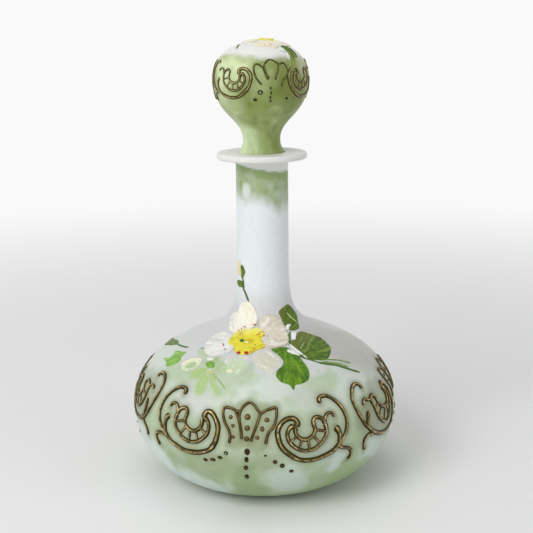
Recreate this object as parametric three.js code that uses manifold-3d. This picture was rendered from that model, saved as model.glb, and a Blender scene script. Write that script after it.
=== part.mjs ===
// Milk glass decanter: a squat round-bellied bottle with a long neck and a disc lip, closed by a
// hollow ball stopper. Raised gilt scrollwork runs round the belly and round the stopper, and a
// spray of wild rose in thick enamel lies over the shoulder.
//
// Millimetres, +Z up. The origin is the centre of the foot, on the plane that the bottle stands on.
// The front faces -Y. A place on the glass is an angle in degrees, from the front towards +X, and a
// length along the profile, which is zero on the widest circle and grows upwards.

import * as THREE from 'three';
import { mergeVertices } from 'three/addons/utils/BufferGeometryUtils.js';
import Module from 'manifold-3d';

const wasm = await Module();
wasm.setup();

// Bottle, from the foot up: outer radii, and how far each zone rises above the one below it
const FOOT_RADIUS = 30.5;
const FOOT_RING_WIDTH = 6.5;
const PUNT_RISE = 4;
const BELLY_RADIUS = 75;
const BELLY_RISE = 43;
const SHOULDER_RADIUS = 26.5;
const SHOULDER_RISE = 46;
const SHOULDER_SLOPE = 35;
const FILLET_RISE = 35;
const NECK_RADIUS = 14.5;
const NECK_LENGTH = 55;
const FLARE_RADIUS = 20.3;
const FLARE_RISE = 4.8;
const LIP_RADIUS = 24.5;
const LIP_THICKNESS = 2.7;

// Glass thickness of the bottle, and its ground seat for the stopper
const WALL = 3.2;
const BASE_THICKNESS = 4;
const SEAT_RADIUS = 11.7;
const SEAT_LENGTH = 27;
const SEAT_TAPER = 0.05;
const MOUTH_BEVEL = 0.4;

// Stopper: heights are measured up from the lip that its shoulder sits on
const STOPPER_SHOULDER_RADIUS = 12.9;
const WAIST_RADIUS = 10.3;
const WAIST_RISE = 7;
const GLOBE_RADIUS = 26;
const GLOBE_RISE = 39.9;
const CROWN_RISE = 20.3;
const STOPPER_WALL = 2.8;
const SHANK_LENGTH = 26;
const SEAT_CLEARANCE = 0.3;
const SHANK_END_THICKNESS = 3;
const SHANK_END_ROUND = 2;
const VENT_RADIUS = 1.5;

// Raised decoration: the air left between a laid-on line and the round glass under it, and the
// thickness of each kind of paste
const ENAMEL_GAP = 0.2;
const GILT_WIDTH = 1.8;
const GILT_HEIGHT = 0.85;
const PETAL_THICKNESS = 0.55;
const HEART_THICKNESS = 0.8;
const LEAF_THICKNESS = 0.4;
const STEM_WIDTH = 1;
const STEM_HEIGHT = 0.4;

// Scroll band: how many times it repeats, where its front palmette stands, and the size of the
// stopper's band against the bottle's
const BOTTLE_REPEATS = 4;
const BOTTLE_BAND_ANGLE = -7;
const STOPPER_REPEATS = 2;
const STOPPER_BAND_ANGLE = 11.5;
const STOPPER_BAND_SCALE = 0.65;
const STOPPER_BAND_DROP = 4.2;

// The scrolls were laid by hand, so each one on the bottle sits a little high or low
const LEFT_SCROLL_LIFTS = [1.3, 0.4, 0.6, -0.5];
const RIGHT_SCROLL_LIFTS = [-1.3, 0, 0.8, 2.6];

// How far each curve of the outline runs along its ends' directions, as a share of its own width
// or rise: larger pulls make a fuller curve
const FOOT_PULL = 0.393;
const LOW_BELLY_PULL = 0.698;
const HIGH_BELLY_PULL = 0.717;
const SHOULDER_PULL = 0.192;
const FILLET_PULL = 0.83;
const NECK_PULL = 0.743;
const FLARE_START_PULL = 0.7;
const FLARE_END_PULL = 0.75;
const CROWN_PULL = 0.5;
const GLOBE_TOP_PULL = 0.72;
const GLOBE_UNDER_PULL = 0.602;
const WAIST_PULL = 0.368;
const WAIST_FOOT_PULL = 0.657;
const SEAT_FLARE_WIDTH = 1;
const SEAT_FLARE_RISE = 2;

// The punt under the foot and the floor inside the bottle: radii of their curves' handles as shares
// of the foot ring's inner and outer radius
const PUNT_CREST_SHARE = 0.58;
const PUNT_EDGE_SHARE = 0.83;
const PUNT_EDGE_RISE = 0.3;
const FLOOR_EDGE_SHARE = 0.8;
const FLOOR_CREST_SHARE = 0.5;
const SHANK_BEVEL_SHARE = 0.3;

// Facets round each glass body
const BOTTLE_FACETS = 48;
const STOPPER_FACETS = 32;
const RIM_STEPS = 4;

// Heights that follow from the rises
const SHOULDER_HEIGHT = BELLY_RISE + SHOULDER_RISE;
const NECK_HEIGHT = SHOULDER_HEIGHT + FILLET_RISE;
const FLARE_HEIGHT = NECK_HEIGHT + NECK_LENGTH;
const LIP_UNDERSIDE = FLARE_HEIGHT + FLARE_RISE;
const LIP_TOP = LIP_UNDERSIDE + LIP_THICKNESS;
const GLOBE_HEIGHT = LIP_TOP + GLOBE_RISE;
const CROWN_HEIGHT = GLOBE_HEIGHT + CROWN_RISE;

const point2 = (radius, height) => new THREE.Vector2(radius, height);

// A curve between two profile points, leaving and arriving along the given handles
function bend(start, startHandle, endHandle, end, steps) {
  return new THREE.CubicBezierCurve(start, startHandle, endHandle, end).getPoints(steps);
}

// Joins profile curves end to end, without repeating the shared points
function joined(...curves) {
  return curves.flatMap((curve, i) => (i === 0 ? curve : curve.slice(1)));
}

// Belly, shoulder, fillet and neck of the bottle, from the foot's edge up to the flare; steps is
// how many pieces the lower belly, the upper belly and the fillet are each drawn in
function bottleZones(steps) {
  const slope = THREE.MathUtils.degToRad(SHOULDER_SLOPE);
  const outwards = point2(Math.cos(slope), -Math.sin(slope));
  const foot = point2(FOOT_RADIUS, 0);
  const equator = point2(BELLY_RADIUS, BELLY_RISE);
  const shoulder = point2(SHOULDER_RADIUS, SHOULDER_HEIGHT);
  const neck = point2(NECK_RADIUS, NECK_HEIGHT);
  const footPull = FOOT_PULL * (BELLY_RADIUS - FOOT_RADIUS);
  const shoulderPull = SHOULDER_PULL * (BELLY_RADIUS - SHOULDER_RADIUS);
  const filletPull = FILLET_PULL * (SHOULDER_RADIUS - NECK_RADIUS);
  const lower = bend(
    foot,
    point2(FOOT_RADIUS + footPull, 0),
    point2(BELLY_RADIUS, BELLY_RISE * (1 - LOW_BELLY_PULL)),
    equator,
    steps[0],
  );
  const upper = bend(
    equator,
    point2(BELLY_RADIUS, BELLY_RISE + SHOULDER_RISE * HIGH_BELLY_PULL),
    shoulder.clone().addScaledVector(outwards, shoulderPull),
    shoulder,
    steps[1],
  );
  const fillet = bend(
    shoulder,
    shoulder.clone().addScaledVector(outwards, -filletPull),
    point2(NECK_RADIUS, NECK_HEIGHT - FILLET_RISE * NECK_PULL),
    neck,
    steps[2],
  );
  return { lower, upper, fillet, neck: [neck, point2(NECK_RADIUS, FLARE_HEIGHT)] };
}

// Globe and waist of the stopper, from the crown down to the shoulder on the lip; steps as above
// for the crown, the under side of the globe and the waist's foot
function stopperZones(steps) {
  const equator = point2(GLOBE_RADIUS, GLOBE_HEIGHT);
  const waist = point2(WAIST_RADIUS, LIP_TOP + WAIST_RISE);
  const underGlobe = GLOBE_RISE - WAIST_RISE;
  const crown = bend(
    point2(0, CROWN_HEIGHT),
    point2(GLOBE_RADIUS * CROWN_PULL, CROWN_HEIGHT),
    point2(GLOBE_RADIUS, GLOBE_HEIGHT + CROWN_RISE * GLOBE_TOP_PULL),
    equator,
    steps[0],
  );
  const under = bend(
    equator,
    point2(GLOBE_RADIUS, GLOBE_HEIGHT - underGlobe * GLOBE_UNDER_PULL),
    point2(WAIST_RADIUS, waist.y + underGlobe * WAIST_PULL),
    waist,
    steps[1],
  );
  const foot = bend(
    waist,
    point2(WAIST_RADIUS, waist.y - WAIST_RISE * WAIST_FOOT_PULL),
    point2(STOPPER_SHOULDER_RADIUS - SEAT_FLARE_WIDTH, LIP_TOP + SEAT_FLARE_RISE),
    point2(STOPPER_SHOULDER_RADIUS, LIP_TOP),
    steps[2],
  );
  return { crown, under, foot };
}

// The same profile moved inwards by the thickness of the glass; side is 1 where the outer face is
// on the right of the profile's direction and -1 where it is on the left
function inset(points, thickness, side) {
  return points.map((point, i) => {
    const before = points[Math.max(i - 1, 0)];
    const after = points[Math.min(i + 1, points.length - 1)];
    const along = after.clone().sub(before).normalize();
    return point2(
      Math.max(point.x - side * along.y * thickness, 0),
      point.y + side * along.x * thickness,
    );
  });
}

const seatRadius = (depth) => SEAT_RADIUS - SEAT_TAPER * depth;

function bottleGlass() {
  const zones = bottleZones([5, 7, 9]);
  const ringInner = FOOT_RADIUS - FOOT_RING_WIDTH;
  const punt = bend(
    point2(0, PUNT_RISE),
    point2(ringInner * PUNT_CREST_SHARE, PUNT_RISE),
    point2(ringInner * PUNT_EDGE_SHARE, PUNT_RISE * PUNT_EDGE_RISE),
    point2(ringInner, 0),
    3,
  );
  const flare = bend(
    point2(NECK_RADIUS, FLARE_HEIGHT),
    point2(NECK_RADIUS, FLARE_HEIGHT + FLARE_RISE * FLARE_START_PULL),
    point2(FLARE_RADIUS - (FLARE_RADIUS - NECK_RADIUS) * FLARE_END_PULL, LIP_UNDERSIDE),
    point2(FLARE_RADIUS, LIP_UNDERSIDE),
    3,
  );
  const rimRadius = LIP_THICKNESS / 2;
  const rim = [];
  for (let i = 0; i <= RIM_STEPS; i += 1) {
    const turn = Math.PI * (i / RIM_STEPS - 0.5);
    rim.push(point2(
      LIP_RADIUS - rimRadius + rimRadius * Math.cos(turn),
      LIP_TOP - rimRadius + rimRadius * Math.sin(turn),
    ));
  }
  const outer = joined(punt, [punt[3], ...zones.lower], zones.upper, zones.fillet, zones.neck, flare);

  const inside = bottleZones([4, 5, 3]);
  const inner = inset(joined(inside.lower, inside.upper, inside.fillet), WALL, 1).reverse();
  const seatEnd = LIP_TOP - SEAT_LENGTH;
  const floor = bend(
    inner[inner.length - 1],
    point2(FOOT_RADIUS * FLOOR_EDGE_SHARE, WALL),
    point2(FOOT_RADIUS * FLOOR_CREST_SHARE, PUNT_RISE + BASE_THICKNESS),
    point2(0, PUNT_RISE + BASE_THICKNESS),
    3,
  );
  const bore = [
    point2(SEAT_RADIUS + MOUTH_BEVEL, LIP_TOP),
    point2(SEAT_RADIUS, LIP_TOP - MOUTH_BEVEL),
    point2(seatRadius(SEAT_LENGTH), seatEnd),
    point2(NECK_RADIUS - WALL, seatEnd - WALL),
  ];
  return new THREE.LatheGeometry([...outer, ...rim, ...bore, ...inner, ...floor.slice(1)], BOTTLE_FACETS);
}

function stopperGlass() {
  const zones = stopperZones([8, 8, 3]);
  const shankRadius = (depth) => seatRadius(depth) - SEAT_CLEARANCE;
  const endRadius = shankRadius(SHANK_LENGTH);
  const endBevel = STOPPER_WALL * SHANK_BEVEL_SHARE;
  const end = LIP_TOP - SHANK_LENGTH;
  const innerRadius = endRadius - STOPPER_WALL;
  const floor = end + SHANK_END_THICKNESS;
  const shank = [
    point2(shankRadius(0), LIP_TOP),
    point2(endRadius, end + endBevel),
    point2(endRadius - endBevel, end),
    point2(VENT_RADIUS, end),
    point2(VENT_RADIUS, floor),
    point2(innerRadius - SHANK_END_ROUND, floor),
    point2(innerRadius, floor + SHANK_END_ROUND),
  ];
  const inside = stopperZones([5, 5, 1]);
  const shell = joined(inside.crown, inside.under);
  const hollow = inset(shell, STOPPER_WALL, -1).reverse();
  hollow[hollow.length - 1].set(0, CROWN_HEIGHT - STOPPER_WALL);
  const outer = joined(zones.crown, zones.under, zones.foot);
  const profile = [...outer, ...shank, ...hollow].reverse();
  return new THREE.LatheGeometry(profile, STOPPER_FACETS);
}

// The outer surface of a glass body, which decoration is laid on. It reads a place from an angle
// and a length along the profile, and lifts it off the glass by a height.
class Skin {
  constructor(profile, widest) {
    this.profile = profile;
    this.lengths = [0];
    for (let i = 1; i < profile.length; i += 1) {
      this.lengths.push(this.lengths[i - 1] + profile[i].distanceTo(profile[i - 1]));
    }
    const zero = this.lengths[widest];
    this.lengths = this.lengths.map((length) => length - zero);
    this.girth = profile[widest].x;
  }

  place(angle, length, height) {
    const last = this.profile.length - 2;
    const above = this.lengths.findIndex((value) => value > length);
    const i = above < 1 ? (above === 0 ? 0 : last) : Math.min(above - 1, last);
    const share = (length - this.lengths[i]) / (this.lengths[i + 1] - this.lengths[i]);
    const along = this.profile[i + 1].clone().sub(this.profile[i]);
    const foot = this.profile[i].clone().addScaledVector(along, share);
    along.normalize();
    const radius = foot.x + along.y * height;
    const turn = THREE.MathUtils.degToRad(angle);
    return new THREE.Vector3(
      radius * Math.sin(turn),
      -radius * Math.cos(turn),
      foot.y - along.x * height,
    );
  }

  // The length at which the upper half of the body has this radius
  lengthAtRadius(radius) {
    let i = this.profile.length - 2;
    while (i > 0 && this.profile[i].x < radius) i -= 1;
    const share = (this.profile[i].x - radius) / (this.profile[i].x - this.profile[i + 1].x);
    return this.lengths[i] + share * (this.lengths[i + 1] - this.lengths[i]);
  }
}

const FINE_STEPS = 80;

function bottleSkin() {
  const zones = bottleZones([FINE_STEPS, FINE_STEPS, FINE_STEPS]);
  return new Skin(joined(zones.lower, zones.upper, zones.fillet, zones.neck), FINE_STEPS);
}

function stopperSkin() {
  const zones = stopperZones([FINE_STEPS, FINE_STEPS, FINE_STEPS]);
  return new Skin(joined(zones.crown, zones.under).reverse(), FINE_STEPS);
}

// A closed body from rings of points, each ring joined to the next and both ends capped flat
function bodyFromRings(rings) {
  const size = rings[0].length;
  const positions = rings.flat().flatMap((point) => point.toArray());
  const faces = [];
  for (let i = 0; i < rings.length - 1; i += 1) {
    for (let j = 0; j < size; j += 1) {
      const a = i * size + j;
      const b = i * size + ((j + 1) % size);
      faces.push(a, b, a + size, b, b + size, a + size);
    }
  }
  const end = (rings.length - 1) * size;
  for (let j = 1; j < size - 1; j += 1) {
    faces.push(0, j + 1, j, end, end + j, end + j + 1);
  }
  return geometryOf(positions, faces);
}

function geometryOf(positions, faces) {
  const geometry = new THREE.BufferGeometry();
  geometry.setAttribute('position', new THREE.Float32BufferAttribute(positions, 3));
  geometry.setIndex(faces);
  return geometry;
}

// Joins closed bodies that run through each other into one
function fused(geometries) {
  const solids = geometries.map((geometry) => new wasm.Manifold(new wasm.Mesh({
    numProp: 3,
    vertProperties: new Float32Array(geometry.getAttribute('position').array),
    triVerts: new Uint32Array(geometry.getIndex().array),
  })));
  const whole = solids.reduce((sum, solid) => sum.add(solid)).getMesh();
  return geometryOf(whole.vertProperties, [...whole.triVerts]);
}

// How a raised line is cut across: half widths and heights as shares of the full ones
const LINE_SECTION = [[-1, 0], [0, 1], [1, 0]];

// A line's cross-sections stand where it has run this far or turned this much; places along it are
// tried this often per point of its path, and its direction is read over the probe's share of it
const LINE_STEP = 7;
const LINE_TURN = 40;
const LINE_TRIES = 12;
const PROBE = 0.01;

// A line has swelled from its thin tips to full width after about a sixth of its length
const TIP_RATE = 6;
const BLUNT_TIPS = [1, 1];
const TAPERED_TIPS = [0.6, 0.6];
const PALMETTE_TIPS = [0.8, 0.8];
const LEAF_TIPS = [0.3, 0.3];
const RUNG_SHARE = 0.7;

// A patch of paste has a rim at half its height and a ring nearer its middle at full height
const PATCH_RINGS = [1, 0.55];
const PATCH_RIM_RISE = 0.5;

// How many points a patch's rim is drawn with
const SMALL_POINTS = 10;
const CROWN_POINTS = 12;
const PETAL_POINTS = 14;
const LEAF_POINTS = 16;

// A raised line laid along a smooth path; place turns two flat coordinates and a height into a
// point in space, and tips gives how far the line thins at each end
function line(place, path, width, height, tips, step = LINE_STEP) {
  const curve = new THREE.CatmullRomCurve3(path.map(([u, v]) => new THREE.Vector3(u, v, 0)));
  const at = (t, lift) => {
    const flat = curve.getPoint(THREE.MathUtils.clamp(t, 0, 1));
    return place(flat.x, flat.y, ENAMEL_GAP + lift);
  };
  const fine = LINE_TRIES * path.length;
  const stations = [0];
  let heading = at(PROBE, 0).sub(at(0, 0));
  for (let i = 1; i < fine; i += 1) {
    const t = i / fine;
    const ahead = at(t + PROBE / 2, 0).sub(at(t - PROBE / 2, 0));
    const run = at(t, 0).distanceTo(at(stations[stations.length - 1], 0));
    const turn = THREE.MathUtils.radToDeg(ahead.angleTo(heading));
    if (run > step || turn > LINE_TURN) {
      stations.push(t);
      heading = ahead;
    }
  }
  stations.push(1);
  const rings = stations.map((t) => {
    const centre = at(t, 0);
    const along = at(t + PROBE, 0).sub(at(t - PROBE, 0)).normalize();
    const up = at(t, 1).sub(centre).normalize();
    const across = along.clone().cross(up);
    const edge = Math.min(1, tips[0] + t * TIP_RATE, tips[1] + (1 - t) * TIP_RATE);
    return LINE_SECTION.map(([side, rise]) => centre.clone()
      .addScaledVector(across, side * width * 0.5 * edge)
      .addScaledVector(up, rise * height * edge));
  });
  return bodyFromRings(rings);
}

// A thin crowned patch of paste inside a smooth outline, such as a petal or a leaf
function patch(place, outline, thickness, points) {
  const rings = PATCH_RINGS;
  const corners = outline.map(([u, v]) => new THREE.Vector3(u, v, 0));
  const rim = new THREE.CatmullRomCurve3(corners, true).getPoints(points).slice(0, points);
  const centre = rim.reduce((sum, p) => sum.add(p), new THREE.Vector3()).divideScalar(points);
  const positions = [];
  for (const face of [0, 1]) {
    for (const share of rings) {
      const rise = face * thickness * (share === 1 ? PATCH_RIM_RISE : 1);
      for (const p of rim) {
        const flat = centre.clone().lerp(p, share);
        positions.push(...place(flat.x, flat.y, ENAMEL_GAP + rise).toArray());
      }
    }
    positions.push(...place(centre.x, centre.y, ENAMEL_GAP + face * thickness).toArray());
  }
  const half = points * rings.length + 1;
  const faces = [];
  const add = (a, b, c, flip) => faces.push(...(flip ? [a, c, b] : [a, b, c]));
  for (let j = 0; j < points; j += 1) {
    const k = (j + 1) % points;
    for (const face of [0, 1]) {
      const base = face * half;
      for (let i = 0; i < rings.length - 1; i += 1) {
        const outerRing = base + i * points;
        const innerRing = outerRing + points;
        add(outerRing + j, outerRing + k, innerRing + j, face === 0);
        add(outerRing + k, innerRing + k, innerRing + j, face === 0);
      }
      const lastRing = base + (rings.length - 1) * points;
      add(lastRing + j, lastRing + k, base + half - 1, face === 0);
    }
    add(j, k, half + j, false);
    add(k, half + k, half + j, false);
  }
  return geometryOf(positions, turnedOut(positions, faces));
}

// The faces in the order that makes them look outwards
function turnedOut(positions, faces) {
  let volume = 0;
  const corner = (i) => new THREE.Vector3().fromArray(positions, faces[i] * 3);
  for (let i = 0; i < faces.length; i += 3) {
    volume += corner(i).dot(corner(i + 1).cross(corner(i + 2)));
  }
  if (volume > 0) return faces;
  return faces.map((_, i) => faces[i % 3 === 0 ? i : i % 3 === 1 ? i + 1 : i - 1]);
}

// Gilt scroll, to the right of a palmette that stands at zero across: a great hook that sweeps
// under a laddered crescent, an outer flourish, a curl on the crescent's horn and a tail
const SCROLL_LINES = {
  flourish: [[41, 22.5], [43, 25], [47, 25], [53, 21.5], [55.5, 14], [54.5, 6], [49.5, -1]],
  sweep: [[47.5, 9.5], [50, 6.5], [50, 1], [47.5, -3.5], [41, -6.5], [33, -7.5], [25, -5.5],
    [18.5, 0], [16, 8], [18.5, 15], [23, 16.5], [25.5, 12]],
  crescent: [[25.5, 12], [26, 8.5], [30.5, 5], [35, 8.5], [35, 13], [38, 15.5], [42, 12.5],
    [42.5, 7], [38.5, 1], [32, -1.5], [26, 0], [21.5, 6], [22, 11.5], [25, 14.5]],
  curl: [[42, 12.5], [43.5, 15.5], [46.5, 16], [48.5, 14]],
  tail: [[49.5, -1], [55, -3.5], [58, -7], [57, -11]],
};

// Rungs between the crescent's two edges, each from the inner edge to the outer one
const SCROLL_RUNGS = [
  [[35.5, 9], [42.5, 7.5]],
  [[34.5, 6.5], [39.5, 1.5]],
  [[31.5, 5], [32.5, -1.5]],
  [[28, 5.5], [27, -0.5]],
  [[25.5, 8], [22, 5]],
];

// Gilt palmette of three feathers, split where two lines meet in a point
const PALMETTE_LINES = [
  [[-9.5, 2], [-9, 5.5], [-9.5, 9], [-12, 13], [-13.5, 17.5], [-13, 21]],
  [[-13.5, 20.5], [-9, 20], [-4, 18.5]],
  [[-7, 19], [-5, 15.5], [-3.5, 11]],
  [[-3, 4.5], [-3, 9.5], [-4, 16.5], [-3, 21], [1, 24]],
  [[0.5, 24], [4, 22], [7, 18]],
  [[7, 18.5], [5, 12.5], [2, 3]],
  [[6.5, 17.5], [10.5, 20], [15.5, 21.5]],
  [[15.5, 21.5], [15.5, 17], [14, 11], [10.5, 7], [9.5, 2]],
];

// Wild rose spray on the bottle: outlines and paths as places, [angle, length]. The front petals
// meet round the heart, with the gap between neighbours that the brush left.
const ROSE_PETALS = {
  petal_top: [[-33, 74.5], [-42, 71.5], [-52, 74], [-64, 79], [-58, 82], [-45, 83.5], [-50, 89],
    [-40, 91], [-26, 91], [-16, 88], [-10, 83.5], [-11, 78.5], [-16, 76.5], [-24, 76]],
  petal_left: [[-38, 70], [-49, 69.5], [-60, 64.5], [-56, 57.5], [-46, 52], [-38, 49.5],
    [-30, 51.5], [-27, 55], [-30, 59.5], [-37, 63]],
  petal_right: [[-5.5, 78], [-4, 81.5], [3, 84], [16, 84], [26, 82], [29, 78], [28.5, 71],
    [25, 65], [18, 61.5], [6, 61.5], [3, 66], [3.5, 70], [1.5, 75]],
  petal_low_right: [[-7, 55], [-3, 57.5], [3, 59], [7.5, 55.5], [10.5, 49], [7.5, 43], [2, 40.5],
    [-3, 41.5], [-6, 47]],
  petal_low_left: [[-12.5, 53.5], [-19, 53.5], [-25.5, 51], [-28, 46.5], [-24.5, 40.5],
    [-18, 38.5], [-12, 40], [-8.5, 45], [-9, 51]],
};
const ROSE_HEART = [[-34, 63.5], [-35.5, 67.5], [-32, 72.5], [-24, 74.5], [-14, 75], [-5, 75.5],
  [0.5, 71.5], [-0.5, 67], [0.5, 62.5], [-4.5, 59.5], [-8.5, 57], [-15, 55], [-23, 56.5],
  [-28.5, 60.5]];

const LEAVES = {
  leaf_upper_right: [[32, 74.5], [40, 73], [49, 73], [57, 75], [66, 79.5], [69, 82], [62, 86.5],
    [52, 88], [42, 87], [32, 84.5], [31.5, 79.5]],
  leaf_middle_right: [[31, 63.5], [37, 67], [41, 69.5], [48, 70], [54, 66], [59, 61], [57, 55],
    [53, 50], [47, 47], [40, 46], [34, 48], [30, 52.5], [29.5, 58]],
  leaf_lower_right: [[9.5, 57.5], [13.5, 59], [18, 59], [21.5, 57.5], [24, 52], [25, 46],
    [25, 40], [22, 34.5], [17.5, 33], [14, 30.5], [11, 34], [8, 38], [9.5, 42], [12.5, 46],
    [13, 51]],
  leaf_far_left: [[-101, 35], [-105, 38], [-98, 42.5], [-90, 46], [-82, 47], [-82, 45],
    [-88, 41], [-94, 37.5]],
  leaf_near_left: [[-64, 33.5], [-70, 36], [-69.5, 39.5], [-71, 43.5], [-66, 45.5], [-61.5, 46.5],
    [-60, 42.5], [-58.5, 38.5], [-60.5, 35]],
  leaf_small_left: [[-37.5, 44.5], [-34.5, 46.5], [-31.5, 45], [-31.5, 42.5], [-35, 42]],
  bud_leaf: [[-54, 104], [-47, 105], [-44, 107.5], [-49, 110], [-56, 110.5], [-58, 107]],
  bud: [[-62, 105.5], [-60.5, 109], [-63, 112], [-70, 112.5], [-73, 109], [-69, 105.5]],
  leaf_under_bud: [[-53, 99], [-62, 98.5], [-72, 98.5], [-80, 100], [-72, 101.5], [-62, 102],
    [-53, 101.5]],
};
const STEMS = {
  stem_right: [[33.5, 71.5], [30, 68.5], [27.5, 64], [26.5, 59], [26.5, 54.5], [28, 50.5],
    [32.5, 45.5]],
  stem_left: [[-79.5, 46], [-74, 47.5], [-66, 49.5], [-60, 50.5], [-54.5, 52.5]],
  stem_bud: [[-33.5, 92.5], [-37, 94], [-42, 95.5], [-48, 97.5]],
};
const LONG_LEAF = [[35, 44], [40, 42], [45.5, 38.5], [51, 34], [56, 30.5]];
const LONG_LEAF_WIDTH = 2.4;

// Blossom on the stopper's crown: an open rose seen from above, placed in plan round its heart
const CROWN_ROSE_CENTRE = [3, 0];
const CROWN_HEART_RADIUS = 4.2;
const CROWN_PETAL_LENGTH = 8.4;
const CROWN_PETALS = 5;
const CROWN_PETAL_GAP = 0.7;
const CROWN_PETAL_TURN = 54;
const CROWN_LEAVES = {
  stopper_leaf_right: [[43, 18], [48, 19.5], [54, 19.5], [58, 17.5], [54, 14.5], [51, 11],
    [48.5, 8.5], [44, 8.5], [43, 12], [46, 15.5]],
  stopper_leaf_left: [[-60, 22.5], [-53, 20.5], [-46, 18.5], [-45, 20], [-50, 22.5], [-58, 24.5]],
};

const bottle = bottleSkin();
const stopper = stopperSkin();

// The flat coordinates of a band motif, laid on a skin: across is measured on the widest circle
function bandPlace(skin, angle, side, scale, lift) {
  const degrees = THREE.MathUtils.radToDeg(scale / skin.girth);
  return (across, up, height) => skin.place(angle + side * across * degrees, up * scale + lift, height);
}

function scroll(skin, angle, side, scale, lift, rungPaths) {
  const place = bandPlace(skin, angle, side, scale, lift);
  const width = GILT_WIDTH * Math.sqrt(scale);
  const height = GILT_HEIGHT * Math.sqrt(scale);
  const step = LINE_STEP * scale;
  const lines = Object.values(SCROLL_LINES).map(
    (path) => line(place, path, width, height, TAPERED_TIPS, step),
  );
  const rungs = rungPaths.map(
    (path) => line(place, path, width * RUNG_SHARE, height * RUNG_SHARE, BLUNT_TIPS, step),
  );
  return fused([...lines, ...rungs]);
}

function palmette(skin, angle, scale, lift) {
  const place = bandPlace(skin, angle, 1, scale, lift);
  const width = GILT_WIDTH * Math.sqrt(scale);
  const height = GILT_HEIGHT * Math.sqrt(scale);
  const step = LINE_STEP * scale;
  return fused(PALMETTE_LINES.map((path) => line(place, path, width, height, PALMETTE_TIPS, step)));
}

// A place on the stopper's crown from its plan position
function crownPlace(x, y, height) {
  const angle = THREE.MathUtils.radToDeg(Math.atan2(x, -y));
  return stopper.place(angle, stopper.lengthAtRadius(Math.hypot(x, y)), height);
}

function crownHeart() {
  const outline = [];
  for (let i = 0; i < SMALL_POINTS; i += 1) {
    const turn = (i / SMALL_POINTS) * 2 * Math.PI;
    outline.push([
      CROWN_ROSE_CENTRE[0] + CROWN_HEART_RADIUS * Math.cos(turn),
      CROWN_ROSE_CENTRE[1] + CROWN_HEART_RADIUS * Math.sin(turn),
    ]);
  }
  return patch(crownPlace, outline, HEART_THICKNESS, SMALL_POINTS);
}

// One petal of the crown's rose: its half width in degrees at steps from the heart to the notched tip
const CROWN_PETAL_SIDES = [[0, 25], [0.4, 31], [0.75, 30], [1, 19], [0.92, 0]];

function crownPetal(index) {
  const middle = CROWN_PETAL_TURN + (index * 360) / CROWN_PETALS;
  const start = CROWN_HEART_RADIUS + CROWN_PETAL_GAP;
  const outline = [];
  for (const side of [-1, 1]) {
    const steps = side === -1 ? CROWN_PETAL_SIDES : CROWN_PETAL_SIDES.slice(0, -1).reverse();
    for (const [share, halfWidth] of steps) {
      const turn = THREE.MathUtils.degToRad(middle + side * halfWidth);
      const reach = start + share * CROWN_PETAL_LENGTH;
      outline.push([
        CROWN_ROSE_CENTRE[0] + reach * Math.cos(turn),
        CROWN_ROSE_CENTRE[1] + reach * Math.sin(turn),
      ]);
    }
  }
  return patch(crownPlace, outline, PETAL_THICKNESS, CROWN_POINTS);
}

// Finishes
const opalGlass = { color: 0xd5e0d3, roughness: 0.35, metalness: 0 };
const greenOpal = { color: 0xa5b478, roughness: 0.35, metalness: 0 };
const gilt = { color: 0x8c6a45, roughness: 0.45, metalness: 0.4 };
const creamEnamel = { color: 0xf3f2ea, roughness: 0.45, metalness: 0 };
const yellowEnamel = { color: 0xd6cb38, roughness: 0.5, metalness: 0 };
const leafEnamel = { color: 0x4f7f1d, roughness: 0.4, metalness: 0 };

const decanter = new THREE.Group();

// Adds one named piece; vertices that lathes and patches repeat are merged first
function add(name, geometry, finish) {
  geometry.deleteAttribute('normal');
  geometry.deleteAttribute('uv');
  const mesh = new THREE.Mesh(mergeVertices(geometry), new THREE.MeshStandardMaterial(finish));
  mesh.name = name;
  decanter.add(mesh);
}

// Turns a lathe's own axis, +Y, up to +Z
function upright(geometry) {
  return geometry.rotateX(Math.PI / 2);
}

add('bottle_glass', upright(bottleGlass()), opalGlass);
add('stopper_glass', upright(stopperGlass()), greenOpal);

for (let i = 0; i < BOTTLE_REPEATS; i += 1) {
  const angle = BOTTLE_BAND_ANGLE + (i * 360) / BOTTLE_REPEATS;
  const left = scroll(bottle, angle, -1, 1, LEFT_SCROLL_LIFTS[i], SCROLL_RUNGS);
  const right = scroll(bottle, angle, 1, 1, RIGHT_SCROLL_LIFTS[i], SCROLL_RUNGS);
  add(`scroll_left_${i + 1}`, left, gilt);
  add(`scroll_right_${i + 1}`, right, gilt);
  add(`palmette_${i + 1}`, palmette(bottle, angle, 1, 0), gilt);
}

for (let i = 0; i < STOPPER_REPEATS; i += 1) {
  const angle = STOPPER_BAND_ANGLE + (i * 360) / STOPPER_REPEATS;
  const scale = STOPPER_BAND_SCALE;
  const lift = -STOPPER_BAND_DROP;
  add(`stopper_scroll_left_${i + 1}`, scroll(stopper, angle, -1, scale, lift, []), gilt);
  add(`stopper_scroll_right_${i + 1}`, scroll(stopper, angle, 1, scale, lift, []), gilt);
  add(`stopper_palmette_${i + 1}`, palmette(stopper, angle, scale, lift), gilt);
}

const onBottle = (angle, length, height) => bottle.place(angle, length, height);
const onStopper = (angle, length, height) => stopper.place(angle, length, height);

for (const [name, outline] of Object.entries(ROSE_PETALS)) {
  add(name, patch(onBottle, outline, PETAL_THICKNESS, PETAL_POINTS), creamEnamel);
}
add('rose_heart', patch(onBottle, ROSE_HEART, HEART_THICKNESS, PETAL_POINTS), yellowEnamel);

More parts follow.
